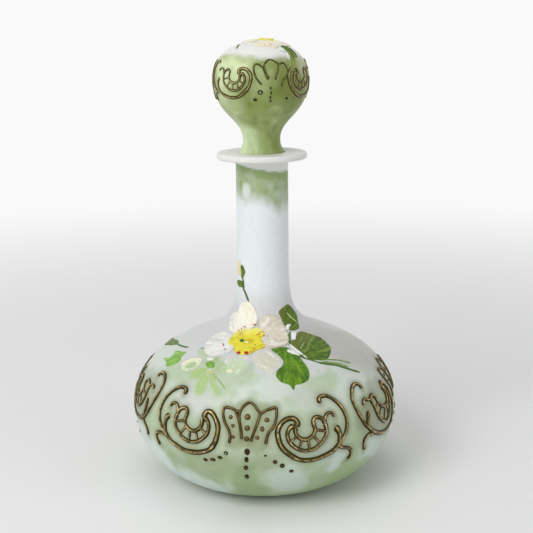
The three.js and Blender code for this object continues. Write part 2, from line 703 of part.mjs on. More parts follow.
for (const [name, outline] of Object.entries(LEAVES)) {
  const points = outline.length > SMALL_POINTS ? LEAF_POINTS : SMALL_POINTS;
  add(name, patch(onBottle, outline, LEAF_THICKNESS, points), name === 'bud' ? creamEnamel : leafEnamel);
}
for (const [name, path] of Object.entries(STEMS)) {
  add(name, line(onBottle, path, STEM_WIDTH, STEM_HEIGHT, TAPERED_TIPS), leafEnamel);
}
const longLeaf = line(onBottle, LONG_LEAF, LONG_LEAF_WIDTH, LEAF_THICKNESS, LEAF_TIPS);
add('leaf_long_right', longLeaf, leafEnamel);

for (let i = 0; i < CROWN_PETALS; i += 1) {
  add(`stopper_petal_${i + 1}`, crownPetal(i), creamEnamel);
}
add('stopper_rose_heart', crownHeart(), yellowEnamel);
for (const [name, outline] of Object.entries(CROWN_LEAVES)) {
  add(name, patch(onStopper, outline, LEAF_THICKNESS, SMALL_POINTS), leafEnamel);
}

export default decanter;
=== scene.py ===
# %% [markdown]
# # A painted milk glass decanter
# The real object is two pieces of blown opal glass, a bottle and a hollow ball stopper. A decorator
# washed them with pale green, trailed raised gilt paste over them, and painted a spray of wild rose
# in thick enamel. This lesson dresses a packed engineering model of it. The model gives every piece
# its place and size, so the pieces made here are laid exactly where its pieces are, and hide them.

# %% Load the frame
import math

import bmesh
import bpy
import numpy as np
from mathutils import Matrix, Vector


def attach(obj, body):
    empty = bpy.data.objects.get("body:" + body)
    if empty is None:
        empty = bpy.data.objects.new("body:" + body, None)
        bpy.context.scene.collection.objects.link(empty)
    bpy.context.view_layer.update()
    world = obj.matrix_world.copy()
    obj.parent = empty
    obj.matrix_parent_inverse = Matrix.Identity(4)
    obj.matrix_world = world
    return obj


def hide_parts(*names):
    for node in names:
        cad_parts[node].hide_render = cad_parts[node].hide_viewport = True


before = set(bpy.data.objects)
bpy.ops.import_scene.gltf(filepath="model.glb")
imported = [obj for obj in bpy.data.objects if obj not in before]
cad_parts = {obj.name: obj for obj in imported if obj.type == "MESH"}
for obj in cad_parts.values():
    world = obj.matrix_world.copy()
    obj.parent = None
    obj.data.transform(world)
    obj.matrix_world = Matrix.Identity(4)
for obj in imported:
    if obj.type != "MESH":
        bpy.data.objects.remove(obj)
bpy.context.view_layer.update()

# %% [markdown]
# ## The profiles
# Blown glass that is spun while it is hot is round, so each body is one outline turned about its
# axis. The engineering model turns it with a few dozen flat facets, which show at its edge. Here the
# same curves are drawn again with many more steps. Every length is in millimetres, and is turned
# into metres only when a mesh is made.

# %% Sizes of the glass
FOOT_RADIUS, FOOT_RING_WIDTH, PUNT_RISE = 30.5, 6.5, 4
BELLY_RADIUS, BELLY_RISE = 75, 43
SHOULDER_RADIUS, SHOULDER_RISE, SHOULDER_SLOPE = 26.5, 46, math.radians(35)
FILLET_RISE = 35
NECK_RADIUS, NECK_LENGTH = 14.5, 55
FLARE_RADIUS, FLARE_RISE = 20.3, 4.0
LIP_RADIUS, LIP_THICKNESS, LIP_CORNER = 25.0, 3.5, 1.2
WALL, BASE_THICKNESS = 3.2, 4
SEAT_RADIUS, SEAT_LENGTH, SEAT_TAPER, MOUTH_BEVEL = 11.7, 27, 0.05, 0.4

STOPPER_SHOULDER_RADIUS = 12.9
WAIST_RADIUS, WAIST_RISE = 10.3, 7
GLOBE_RADIUS, GLOBE_RISE, CROWN_RISE = 26, 39.9, 20.3
STOPPER_WALL, SHANK_LENGTH, SEAT_CLEARANCE = 2.8, 26, 0.3
SHANK_END_THICKNESS, VENT_RADIUS = 3, 1.5

SHOULDER_HEIGHT = BELLY_RISE + SHOULDER_RISE
NECK_HEIGHT = SHOULDER_HEIGHT + FILLET_RISE
FLARE_HEIGHT = NECK_HEIGHT + NECK_LENGTH
LIP_UNDERSIDE = FLARE_HEIGHT + FLARE_RISE
LIP_TOP = LIP_UNDERSIDE + LIP_THICKNESS
GLOBE_HEIGHT = LIP_TOP + GLOBE_RISE
CROWN_HEIGHT = GLOBE_HEIGHT + CROWN_RISE
MM = 0.001
print(f"lip at {LIP_TOP:.1f} mm, crown at {CROWN_HEIGHT:.1f} mm")


# %% [markdown]
# Each stretch of the outline is one Bezier curve between two named heights. How far its handles reach
# was fitted to the photograph's silhouette, and is kept as a share of the rise or step that it spans.

# %% Curves of the outline
FOOT_PULL, UNDER_BELLY_SHARE = 0.393, 0.302
SHOULDER_PULL, OVER_BELLY_SHARE = 0.192, 0.717
FILLET_PULL, FILLET_SHARE = 0.83, 0.743
CROWN_SHARE, UNDER_GLOBE_SHARE, OVER_WAIST_SHARE, UNDER_WAIST_SHARE = 0.72, 0.602, 0.368, 0.657
STOPPER_FOOT_STEP, STOPPER_FOOT_RISE = 1, 2


def bend(start, start_handle, end_handle, end, steps):
    """A Bezier curve between two profile points, as rows of radius and height."""
    t = np.linspace(0, 1, steps + 1)[:, None]
    a, b, c, d = (np.array(p, float) for p in (start, start_handle, end_handle, end))
    return (1 - t) ** 3 * a + 3 * (1 - t) ** 2 * t * b + 3 * (1 - t) * t * t * c + t ** 3 * d


def joined(*curves):
    """Profile curves end to end, without their shared points."""
    return np.vstack([curves[0]] + [curve[1:] for curve in curves[1:]])


def bottle_zones(steps):
    """The bottle's outside in four curves: under the belly, over it, the fillet and the neck."""
    out = np.array([math.cos(SHOULDER_SLOPE), -math.sin(SHOULDER_SLOPE)])
    shoulder = np.array([SHOULDER_RADIUS, SHOULDER_HEIGHT])
    foot_pull = FOOT_PULL * (BELLY_RADIUS - FOOT_RADIUS)
    shoulder_pull = SHOULDER_PULL * (BELLY_RADIUS - SHOULDER_RADIUS)
    fillet_pull = FILLET_PULL * (SHOULDER_RADIUS - NECK_RADIUS)
    lower = bend((FOOT_RADIUS, 0), (FOOT_RADIUS + foot_pull, 0),
                 (BELLY_RADIUS, BELLY_RISE * UNDER_BELLY_SHARE), (BELLY_RADIUS, BELLY_RISE), steps[0])
    upper = bend((BELLY_RADIUS, BELLY_RISE), (BELLY_RADIUS, BELLY_RISE + SHOULDER_RISE * OVER_BELLY_SHARE),
                 shoulder + out * shoulder_pull, shoulder, steps[1])
    neck_start = (NECK_RADIUS, NECK_HEIGHT)
    fillet = bend(shoulder, shoulder - out * fillet_pull,
                  (NECK_RADIUS, NECK_HEIGHT - FILLET_RISE * FILLET_SHARE), neck_start, steps[2])
    neck = bend(neck_start, (NECK_RADIUS, NECK_HEIGHT + NECK_LENGTH / 3),
                (NECK_RADIUS, FLARE_HEIGHT - NECK_LENGTH / 3), (NECK_RADIUS, FLARE_HEIGHT), steps[3])
    return lower, upper, fillet, neck


def stopper_zones(steps):
    """The stopper's outside in three curves: from the crown down, under the ball, and its foot."""
    widest = (GLOBE_RADIUS, GLOBE_HEIGHT)
    waist = (WAIST_RADIUS, LIP_TOP + WAIST_RISE)
    under_globe = GLOBE_RISE - WAIST_RISE
    crown = bend((0, CROWN_HEIGHT), (GLOBE_RADIUS / 2, CROWN_HEIGHT),
                 (GLOBE_RADIUS, GLOBE_HEIGHT + CROWN_RISE * CROWN_SHARE), widest, steps[0])
    under = bend(widest, (GLOBE_RADIUS, GLOBE_HEIGHT - under_globe * UNDER_GLOBE_SHARE),
                 (WAIST_RADIUS, waist[1] + under_globe * OVER_WAIST_SHARE), waist, steps[1])
    foot = bend(waist, (WAIST_RADIUS, waist[1] - WAIST_RISE * UNDER_WAIST_SHARE),
                (STOPPER_SHOULDER_RADIUS - STOPPER_FOOT_STEP, LIP_TOP + STOPPER_FOOT_RISE),
                (STOPPER_SHOULDER_RADIUS, LIP_TOP), steps[2])
    return crown, under, foot


def inset(profile, thickness, side):
    """The same profile moved inwards by the thickness of the glass."""
    along = np.gradient(profile, axis=0)
    along /= np.linalg.norm(along, axis=1)[:, None]
    moved = profile + side * thickness * np.stack([-along[:, 1], along[:, 0]], axis=1)
    moved[:, 0] = np.maximum(moved[:, 0], 0)
    return moved


def round_edge(centre, radius, start, end, steps):
    """An arc of a rim, with its angles in degrees."""
    turn = np.radians(np.linspace(start, end, steps + 1))
    return np.array(centre) + radius * np.stack([np.cos(turn), np.sin(turn)], axis=1)


print("belly curve has", len(bottle_zones((60, 60, 30, 30))[0]), "points")

# %% [markdown]
# ## A place on the glass
# The decorator thinks of the glass as a sheet that is wrapped round: so far round, and so far up.
# A place here is an angle from the front in degrees, and a length in millimetres up the profile from
# its widest circle. One small class turns such places, and a height off the surface, into points in
# space. Every ornament is then drawn flat and still lies truly on the round glass.


# %% The surface that decoration is laid on
class Skin:
    """The outside of a turned body, made from its profile and the index of its widest point."""

    def __init__(self, profile, widest):
        steps = np.linalg.norm(np.diff(profile, axis=0), axis=1)
        self.length = np.concatenate([[0], np.cumsum(steps)])
        self.length -= self.length[widest]
        self.radius, self.height = profile[:, 0], profile[:, 1]
        along = np.gradient(profile, axis=0)
        self.slope = along / np.linalg.norm(along, axis=1)[:, None]
        self.girth = profile[widest, 0]

    def radius_at(self, length):
        """How far the glass is from its axis at a length."""
        return np.interp(length, self.length, self.radius)

    def outwards(self, angle, length):
        """Which way the glass faces at a place."""
        turn = np.radians(angle)
        across = np.interp(length, self.length, self.slope[:, 1])
        rise = -np.interp(length, self.length, self.slope[:, 0])
        normal = np.stack([across * np.sin(turn), -across * np.cos(turn), rise], axis=-1)
        return normal / np.linalg.norm(normal, axis=-1, keepdims=True)

    def place(self, angle, length, lift=0.0):
        """Points in space for places on the glass, lifted off it by so many millimetres."""
        angle, length = np.asarray(angle, float), np.asarray(length, float)
        turn = np.radians(angle)
        radius = self.radius_at(length)
        height = np.interp(length, self.length, self.height)
        point = np.stack([radius * np.sin(turn), -radius * np.cos(turn), height], axis=-1)
        return point + self.outwards(angle, length) * np.asarray(lift, float)[..., None]


FINE = 160
lower, upper, fillet, neck = bottle_zones((FINE, FINE, FINE, FINE))
BOTTLE = Skin(joined(lower, upper, fillet, neck), FINE)
crown, under, _ = stopper_zones((FINE, FINE, FINE))
STOPPER = Skin(joined(crown, under)[::-1], FINE)
print(f"bottle skin runs from {BOTTLE.length[0]:.0f} to {BOTTLE.length[-1]:.0f} mm,",
      f"stopper skin from {STOPPER.length[0]:.0f} to {STOPPER.length[-1]:.0f} mm")


# %% [markdown]
# ## Meshes from numbers
# Each piece is worked out as rows of points and faces, and then handed to Blender in one go. A piece
# also carries a painted colour at each of its points, the way that a potter's brush leaves more or
# less colour. It rides on the bottle or on the stopper, and names the frame's pieces it stands for.


# %% Make a piece
def linear(colour):
    """A screen colour, 0 to 255, as the light that Blender reckons with."""
    c = np.asarray(colour, float) / 255
    return np.where(c <= 0.04045, c / 12.92, ((c + 0.055) / 1.055) ** 2.4)


def make_piece(name, points, faces, paint, material, body, nodes=()):
    """One piece from points in mm; it rides on a body and stands for the frame's nodes."""
    mesh = bpy.data.meshes.new(name)
    mesh.from_pydata((points * MM).tolist(), [], faces)
    shell = bmesh.new()
    shell.from_mesh(mesh)
    bmesh.ops.recalc_face_normals(shell, faces=shell.faces)
    shell.to_mesh(mesh)
    shell.free()
    layer = mesh.color_attributes.new("paint", "FLOAT_COLOR", "POINT")
    colours = np.ones((len(points), 4))
    colours[:, :3] = paint
    layer.data.foreach_set("color", colours.ravel())
    mesh.polygons.foreach_set("use_smooth", [True] * len(mesh.polygons))
    mesh.materials.append(material)
    piece = bpy.data.objects.new(name, mesh)
    bpy.context.scene.collection.objects.link(piece)
    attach(piece, body)
    if nodes:
        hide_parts(*nodes)
    return piece


def grid_faces(rows, columns, first=0, closed=True):
    """Quads between rows of points; closed joins each row's end to its start."""
    last = columns if closed else columns - 1
    return [(first + i * columns + j, first + i * columns + (j + 1) % columns,
             first + (i + 1) * columns + (j + 1) % columns, first + (i + 1) * columns + j)
            for i in range(rows - 1) for j in range(last)]


class Heap:
    """Gathers the points, faces and paint of several strokes into one piece."""

    def __init__(self):
        self.points, self.paint, self.faces, self.count = [], [], [], 0

    def add(self, points, faces, paint):
        self.points.append(points)
        self.paint.append(np.broadcast_to(paint, points.shape))
        self.faces += [tuple(self.count + i for i in face) for face in faces]
        self.count += len(points)

    def make(self, name, material, body, slot, nodes=()):
        return make_piece(name, np.vstack(self.points), self.faces, np.vstack(self.paint),
                          material, body, nodes)


print("a test band of 3 rows of 8 points has", len(grid_faces(3, 8)), "faces")

# %% [markdown]
# ## Uneven by hand
# Brushed colour is never flat. A small value noise gives the unevenness: random numbers sit on the
# corners of a lattice, each made from the corner's own place, and are blended smoothly between. It
# needs no seed from outside, so the scene comes out the same each time.


# %% Brush noise
STIR_X, STIR_Y, STIR_Z, STIR_SEED, STIR_AGAIN = 73856093, 19349663, 83492791, 2654435, 1274126177
LATTICE_START = 100


def lattice(corner, seed):
    """A number from 0 to 1 that belongs to one corner; large primes stir its place together."""
    n = corner[..., 0] * STIR_X ^ corner[..., 1] * STIR_Y ^ corner[..., 2] * STIR_Z ^ seed * STIR_SEED
    n = (n ^ (n >> 13)) * STIR_AGAIN & 0x7FFFFFFF
    return ((n ^ (n >> 16)) & 0xFFFF) / 0xFFFF


def cloud(points, size, seed, octaves=3):
    """Soft blotches between 0 and 1; size is how big they are in the points' own unit."""
    points = np.asarray(points, float)
    if points.shape[-1] == 2:
        points = np.concatenate([points, np.zeros(points.shape[:-1] + (1,))], axis=-1)
    total, weight, share = 0, 0, 1.0
    for octave in range(octaves):
        p = points / size * 2 ** octave + LATTICE_START
        base = np.floor(p).astype(np.int64)
        f = p - base
        f = f * f * (3 - 2 * f)
        value = 0
        for dx in (0, 1):
            for dy in (0, 1):
                for dz in (0, 1):
                    w = (f[..., 0] if dx else 1 - f[..., 0]) * (f[..., 1] if dy else 1 - f[..., 1])
                    w = w * (f[..., 2] if dz else 1 - f[..., 2])
                    value = value + w * lattice(base + np.array([dx, dy, dz]), seed + octave)
        total, weight, share = total + value * share, weight + share, share * 0.5
    return total / weight


def ramp(value, low, high):
    """0 below low, 1 above high, smooth between."""
    t = np.clip((value - low) / (high - low), 0, 1)
    return t * t * (3 - 2 * t)


def blend(base, colour, amount):
    """Mixes a screen colour over painted points, by an amount from 0 to 1 at each."""
    return base + (linear(colour) - base) * np.asarray(amount)[..., None]


print("a brush mark's noise:", round(float(cloud(np.array([[1.0, 2.0, 3.0]]), 5, 1)[0]), 3))


# %% [markdown]
# ## Drawing with a few points
# A brush goes through places in one sweep. A smooth curve through a few points does the same, and is
# then cut into even steps, so that every line and rim has faces of one size. The second function tells
# how deep a place lies inside an outline, which soft painted edges need.

# %% Smooth curves through points
CURVE_STEPS = 24


def through(points, closed, spacing):
    """A smooth curve through points, resampled at an even spacing."""
    p = np.array(points, float)
    ends = (p[-1:], p[:2]) if closed else (2 * p[:1] - p[1:2], 2 * p[-1:] - p[-2:-1])
    knots = np.vstack([ends[0], p, ends[1]])
    t = np.linspace(0, 1, CURVE_STEPS, endpoint=False)[:, None]
    parts = []
    for i in range(len(knots) - 3):
        a, b, c, d = knots[i:i + 4]
        parts.append(0.5 * (2 * b + (c - a) * t + (2 * a - 5 * b + 4 * c - d) * t ** 2
                            + (3 * b - a - 3 * c + d) * t ** 3))
    curve = np.vstack(parts + [knots[-2:-1]])
    run = np.concatenate([[0], np.cumsum(np.linalg.norm(np.diff(curve, axis=0), axis=1))])
    count = max(int(round(run[-1] / spacing)), 3)
    at = np.linspace(0, run[-1], count + 1)
    curve = np.stack([np.interp(at, run, curve[:, k]) for k in range(curve.shape[1])], axis=1)
    return curve[:-1] if closed else curve


def distance_inside(points, outline):
    """Signed distance from flat points to a closed outline, positive inside."""
    a, b = outline, np.roll(outline, -1, axis=0)
    px, py = points[:, None, 0], points[:, None, 1]
    edge = b - a
    t = ((px - a[:, 0]) * edge[:, 0] + (py - a[:, 1]) * edge[:, 1]) / (edge ** 2).sum(axis=1)
    t = np.clip(t, 0, 1)
    gap = np.hypot(px - a[:, 0] - t * edge[:, 0], py - a[:, 1] - t * edge[:, 1]).min(axis=1)
    crosses = (a[:, 1] > py) != (b[:, 1] > py)
    with np.errstate(divide="ignore", invalid="ignore"):
        x_cross = a[:, 0] + (py - a[:, 1]) * edge[:, 0] / edge[:, 1]
    inside = (crosses & (px < x_cross)).sum(axis=1) % 2 == 1
    return np.where(inside, gap, -gap)


print("a test ring has", len(through([(0, 0), (4, 0), (4, 4), (0, 4)], True, 1)), "points")

# %% [markdown]
# ## Finishes
# Satin opal glass is pale, smooth and only softly shiny. The gilt is a thin metal lustre over brown
# paste: worn bright on the crest of each line and left dark along its feet. The flowers are thick
# glassy enamel that keeps the marks of the brush. Each finish is a small set of nodes: the painted
# colour from the mesh, a finer mottling over it, and a bump that is the same mottling felt by light.


# %% Build the materials
NOISE_LOW, NOISE_HIGH, GLOSS_LOW, GLOSS_HIGH = 0.3, 0.7, 0.35, 0.65
SMOOTHER, ROUGHER, COAT_ROUGHNESS, NOISE_DETAIL, PALER_SHARE = 0.06, 0.08, 0.3, 4, 0.5


def add_node(nodes, kind, sockets=None, **properties):
    """Adds a shader node, sets its properties, and then the values of its sockets."""
    node = nodes.new("ShaderNode" + kind)
    for name, value in properties.items():
        setattr(node, name, value)
    for name, value in (sockets or {}).items():
        node.inputs[name].default_value = value
    return node


def finish(name, roughness, grain, grain_depth, mottle, metallic=0.0, coat=0.0, specular=0.5):
    """A material whose colour is the paint on the mesh; grain is the size of its bumps in mm."""
    material = bpy.data.materials.new(name)
    material.use_nodes = True
    nodes, links = material.node_tree.nodes, material.node_tree.links
    shader = nodes["Principled BSDF"]
    paint = add_node(nodes, "Attribute", attribute_name="paint")
    space = add_node(nodes, "TexCoord")
    fine = add_node(nodes, "TexNoise", {"Scale": 1 / (grain * MM), "Detail": NOISE_DETAIL})
    links.new(space.outputs["Object"], fine.inputs["Vector"])
    shade = add_node(nodes, "MapRange", {"From Min": NOISE_LOW, "From Max": NOISE_HIGH,
                                         "To Min": 1 - mottle, "To Max": 1 + mottle * PALER_SHARE})
    links.new(fine.outputs["Fac"], shade.inputs["Value"])
    tinted = add_node(nodes, "VectorMath", operation="SCALE")
    links.new(paint.outputs["Color"], tinted.inputs[0])
    links.new(shade.outputs["Result"], tinted.inputs["Scale"])
    links.new(tinted.outputs["Vector"], shader.inputs["Base Color"])
    gloss = add_node(nodes, "MapRange", {"From Min": GLOSS_LOW, "From Max": GLOSS_HIGH,
                                         "To Min": roughness - SMOOTHER, "To Max": roughness + ROUGHER})
    links.new(fine.outputs["Fac"], gloss.inputs["Value"])
    links.new(gloss.outputs["Result"], shader.inputs["Roughness"])
    bump = add_node(nodes, "Bump", {"Strength": 1, "Distance": grain_depth * MM})
    links.new(fine.outputs["Fac"], bump.inputs["Height"])
    links.new(bump.outputs["Normal"], shader.inputs["Normal"])
    shader.inputs["Metallic"].default_value = metallic
    shader.inputs["Coat Weight"].default_value = coat
    shader.inputs["Specular IOR Level"].default_value = specular
    shader.inputs["Coat Roughness"].default_value = COAT_ROUGHNESS
    return material


satin_glass = finish("satin_opal_glass", 0.42, 2.5, 0.03, 0.035, coat=0.08, specular=0.35)
gilt_paste = finish("gilt_paste", 0.34, 0.9, 0.05, 0.2, metallic=0.55, specular=0.2)
thick_enamel = finish("thick_enamel", 0.42, 0.8, 0.05, 0.05, coat=0.05, specular=0.22)
print("finishes:", satin_glass.name, gilt_paste.name, thick_enamel.name)

# %% [markdown]
# ## The pattern of the band
# A decorator pricks the pattern once and uses it all round. Each group is a three-feathered palmette
# between two scrolls: a great hook under a crescent with little rungs, an outer flourish, a curl and a
# tail. The lines are written in millimetres across and up. The wash needs the pattern first: it is
# darker olive along the lines, partly a smudge of the paste and partly painted shade beside the raised
# lines.

# %% The pattern of the band
SCROLL_LINES = {
    "rung_1": [(36, 9), (42.4, 7.4)], "rung_2": [(34.8, 6.2), (38.4, 1.6)],
    "rung_3": [(31.9, 4.8), (32.6, -1)], "rung_4": [(28.4, 5), (27.2, -0.2)],
    "rung_5": [(26, 7), (22.4, 4)],
    "sweep": [(48, 9), (50.2, 5), (50.2, 0), (47.4, -3.6), (41.8, -6), (35, -7.4), (28, -6.6),
              (22.5, -3.2), (18.2, 1.2), (16.3, 6), (16, 10.5), (18.2, 14.2), (21.6, 16.1), (25, 15.9),
              (26.6, 13.8), (25.5, 11.5)],
    "flourish": [(41.8, 22), (41.5, 24.3), (43.6, 25.6), (47.4, 25.2), (51.8, 21.6), (54.9, 16.2),
                 (55.8, 10), (54.2, 4), (49.5, -1.5)],
    "crescent_inner": [(25.4, 11.6), (25.3, 8.6), (26.8, 6.2), (29.4, 4.7), (32.5, 5), (35, 6.8),
                       (36.1, 9.4), (35.5, 12), (35.6, 14.2), (37.2, 15.4), (39.8, 14.8), (41.6, 13),
                       (42, 11)],
    "crescent_outer": [(42, 11.6), (42.6, 8.4), (42, 5), (39.6, 2), (36, -0.6), (32, -1.5), (28, -0.8),
                       (24.2, 1.6), (21.6, 5), (21, 8.4), (22.2, 11.2), (24.8, 12.6)],
    "curl": [(41.8, 12.5), (43, 15), (45, 16.3), (47.3, 16), (48.5, 13.8)],
    "tail": [(49.5, -1.5), (53, -2.8), (56.5, -4.5), (58, -7.5), (57, -11)],
}
LINE_HALF_WIDTHS = {"sweep": 1.5, "flourish": 1.2, "crescent": 1.2, "curl": 0.95, "tail": 1.1, "rung": 0.75}
PALMETTE_LINES = [
    [(-9.5, 2), (-8.9, 5.5), (-9.8, 9), (-12.3, 13), (-13.8, 17.5), (-13.4, 21)],
    [(-13.4, 20.6), (-9.8, 20.3), (-6.6, 19.2), (-4.4, 18.6)],
    [(-6.8, 19), (-5, 15.5), (-3.6, 11), (-2.8, 6)],
    [(-2.8, 4.5), (-3.3, 9.5), (-4.4, 14.5), (-4.3, 18.5), (-2.3, 22), (0.9, 24.3)],
    [(0.9, 24.2), (3.4, 22.5), (5.4, 20), (7, 18)],
    [(7, 18.2), (5.8, 14.5), (3.8, 9), (1.8, 3.5)],
    [(6.8, 17.8), (10, 19.6), (13, 20.5), (15.8, 21.4)],
    [(15.8, 21.4), (15.8, 17), (14.2, 11.8), (11.3, 8.2), (10, 4.5), (9.6, 2)],
]
print("lines of a scroll:", len(SCROLL_LINES), "- of a palmette:", len(PALMETTE_LINES))

# %% [markdown]
# ## Laid by eye
# The band goes round four times. Each scroll and palmette sits a little high or low, and some lines
# were drawn anew where the hand had less room. A scroll is known by its side, -1 for left and 1 for
# right, and by its repeat, counted from the front to the right.

# %% Where each repeat departs from the pattern
BAND_REPEATS, BAND_ANGLE = 4, -7
LEFT_LIFTS, RIGHT_LIFTS, PALMETTE_LIFTS = (1.3, 0.4, 0.6, -0.5), (-1.3, 0, 0.8, 2.6), (0, 4.5, 0, 2)
SCROLL_TWISTS = {
    (-1, 0): {"sweep": [(47.3, 9.5), (49.6, 7), (49.8, 1), (46.8, -3.5), (41.6, -5.8), (36.6, -7.2),
                        (30.9, -7.4), (25.8, -6.4), (20.9, -4.4), (17.9, -1), (16.3, 3), (15.7, 7.8),
                        (16.9, 11.5), (19.5, 14.8), (22.2, 16), (24, 15), (24.4, 12.9),
                        (24.9, 11.6)],
              "tail": [(47, -2.3), (53.7, -1.8), (57.4, -3.3), (57.6, -6.3), (55.6, -9.8)]},
    (1, 0): {"tail": [(49.5, -1.5), (52, -3.6), (56, -4.9), (58.6, -7.4), (58.6, -10.5), (57.3, -12.7)]},
    (-1, 1): {"rung_1": [(38.6, 8.8), (33.6, 10.6)], "rung_2": [(35.4, 3.2), (31, 8.4)],
              "rung_3": [(29.4, -1.4), (27.4, 6.8)], "rung_4": [(22.8, -0.8), (24.4, 6.8)],
              "rung_5": [(19.4, 4.5), (22.6, 8)],
              "flourish": [(43.4, 21.6), (43.2, 23.8), (46.3, 25.4), (50.6, 23.9), (54.4, 18.4),
                           (53.2, 11.3), (49, 3.4), (43.7, -1)],
              "sweep": [(44.5, 9.5), (46.2, 5.3), (46, 1), (39.8, -4), (30, -7.6), (21, -7.6), (15.4, -4),
                        (13.8, 3), (15.2, 10.8), (17.8, 16.4), (21, 18.6), (23.7, 17.5)],
              "crescent_inner": [(23.7, 17.5), (21.8, 12.3), (23, 8.2), (28.3, 7), (33.2, 10.2), (34.9, 14),
                                 (36.6, 16), (38.6, 15.9), (40.2, 14.4)],
              "crescent_outer": [(40.2, 14.6), (38.4, 9.2), (35.6, 3.4), (28.6, -1.6), (22.8, -0.8),
                                 (19.2, 4.9), (19, 11.9), (23.2, 17.3)],
              "curl": [(39.7, 14.8), (42.4, 14.8), (44.8, 16), (47, 15), (46.8, 13)],
              "tail": [(41.6, -4.1), (46, -3.4), (49.3, -5.4), (49.3, -8.4), (47.5, -12)]},
    (1, 3): {"rung_1": [(36, 13), (42.4, 11.4)], "rung_2": [(34.8, 10.2), (38.6, 5.4)],
             "rung_3": [(31.9, 8.8), (32.6, 2.8)], "rung_4": [(28.4, 9), (27.2, 3.6)],
             "rung_5": [(26.2, 11), (23, 8)],
             "flourish": [(44.3, 23.6), (44.6, 25.8), (47.9, 26.9), (52.6, 25.3), (55.4, 21), (55, 14.9),
                          (52.3, 8.5), (48.3, 2.4), (44.2, -1)],
             "sweep": [(45.5, 11), (46.7, 8.2), (46.1, 3.8), (42.2, -1.3), (35.3, -3.1), (27.5, -2.2),
                       (21, 2.5), (17, 9), (18.5, 15), (22.5, 17), (25.5, 15.5), (26, 13)],
             "crescent_inner": [(26.2, 14), (26, 12.2), (27.2, 10), (29.8, 8.6), (32.6, 9), (35, 10.8),
                                (36, 13.4), (34.6, 15.8), (34.6, 18), (36.6, 18.9), (39.6, 18.4),
                                (41.8, 16.4), (42, 14.4)],
             "crescent_outer": [(42, 15), (42.4, 12), (41.8, 9), (39.6, 6), (36, 3.6), (32, 2.6), (28, 3.2),
                                (24.6, 5.4), (22.6, 8.6), (22.6, 11.6), (24, 13.6), (26, 14)],
             "curl": [(42, 16), (43, 17.6), (44.6, 18.3), (47, 18.2), (48, 16.6)],
             "tail": [(44.2, -1), (46.8, -3.1), (49.5, -5.7), (50.2, -9.2)]},
}


def scroll_lines(side, repeat):
    """The lines of one scroll: those of the pattern, with the ones that were drawn anew."""
    return {**SCROLL_LINES, **SCROLL_TWISTS.get((side, repeat), {})}


print("scrolls drawn differently:", len(SCROLL_TWISTS), "of", 2 * BAND_REPEATS)

# %% [markdown]
# ## Darker beside the lines
# The wash is darker olive round the lines: partly where the wet paste smudged it, partly painted shade
# beside the raised lines. How strong it is at a place follows from the distance to the nearest line:
# every line is cut into points a millimetre apart, and a soft bell curve turns the distance into a
# share. The places are taken a few thousand at a time, to save memory.

# %% Smudge and painted shade along the band
# Darker olive beside the lines: part smudge of the paste, part painted shade.
HALO_OLIVE = (137, 138, 102)
HALO_LOW, HALO_HIGH, HALO_REACH, HALO_WIDTH, HALO_STRENGTH = -16, 32, 62, 2.7, 0.75
PLACES_AT_ONCE, FAR_AWAY = 4000, 99.0


def band_halo(angle, length):
    """How strongly the wash is darkened to olive beside the lines of the band, smudge and painted shade,
    from 0 to 1.
    """
    smudge_and_shade = np.zeros(len(angle))
    near = np.where((length > HALO_LOW) & (length < HALO_HIGH))[0]
    for i in range(BAND_REPEATS):
        across = (angle[near] - BAND_ANGLE - i * 360 / BAND_REPEATS + 180) % 360 - 180
        flat = np.stack([np.radians(across) * BOTTLE.girth, length[near]], axis=1)
        lines = [through(line, False, 1) + (0, PALMETTE_LIFTS[i]) for line in PALMETTE_LINES]
        for side, lift in ((-1, LEFT_LIFTS[i]), (1, RIGHT_LIFTS[i])):
            for line in scroll_lines(side, i).values():
                lines.append(through(line, False, 1) * (side, 1) + (0, lift))
        marks = np.vstack(lines)
        close = np.where(abs(flat[:, 0]) < HALO_REACH)[0]
        gap = np.full(len(close), FAR_AWAY)
        for k in range(0, len(close), PLACES_AT_ONCE):
            part = flat[close[k:k + PLACES_AT_ONCE]]
            gap[k:k + PLACES_AT_ONCE] = np.sqrt(((part[:, None] - marks) ** 2).sum(axis=2).min(axis=1))
        here = near[close]
        smudge_and_shade[here] = np.maximum(smudge_and_shade[here], np.exp(-(gap / HALO_WIDTH) ** 2))
    return smudge_and_shade


print("stain on a line of the band:", round(float(band_halo(np.array([-7.0]), np.array([24.2]))[0]), 2))

# %% [markdown]
# ## The green wash
# The wash was dabbed on with a wide soft brush: palest on the shoulder, greener round the band and
# under the belly, with bare white patches between the dabs. The neck has a band of green under its
# lip, with a wavy edge where the colour ran down. An image could hold all this, but then the glass
# would need a flat copy of itself. Instead the colour is worked out at each point of the glass, from
# its height, its angle, the blotches of the brush noise and a few soft painted shapes.

# %% Colours of the wash
# The shoulder's grey-white is the wash's colour, kept a little darker as painted shade on the upward-facing
# shoulder.
SHOULDER_WHITE_AND_SHADE = (208, 208, 209)
SHOULDER_SHADE_GREY = (180, 180, 172)
MINT_WHITE = (206, 216, 205)
PALE_GREEN = (173, 194, 155)
MOSS_GREEN = (152, 177, 126)
DEEP_MOSS = (132, 158, 102)
STAINED_GREEN = (144, 160, 118)
STAINED_OLIVE = (122, 128, 92)
BARE_PATCH = (210, 223, 221)
NECK_WHITE = (232, 237, 240)
NECK_GREEN = (136, 160, 92)
LIP_WHITE = (232, 232, 229)
RAGGED_SIZE, RAGGED_START, BEHIND = 7, 50, 90


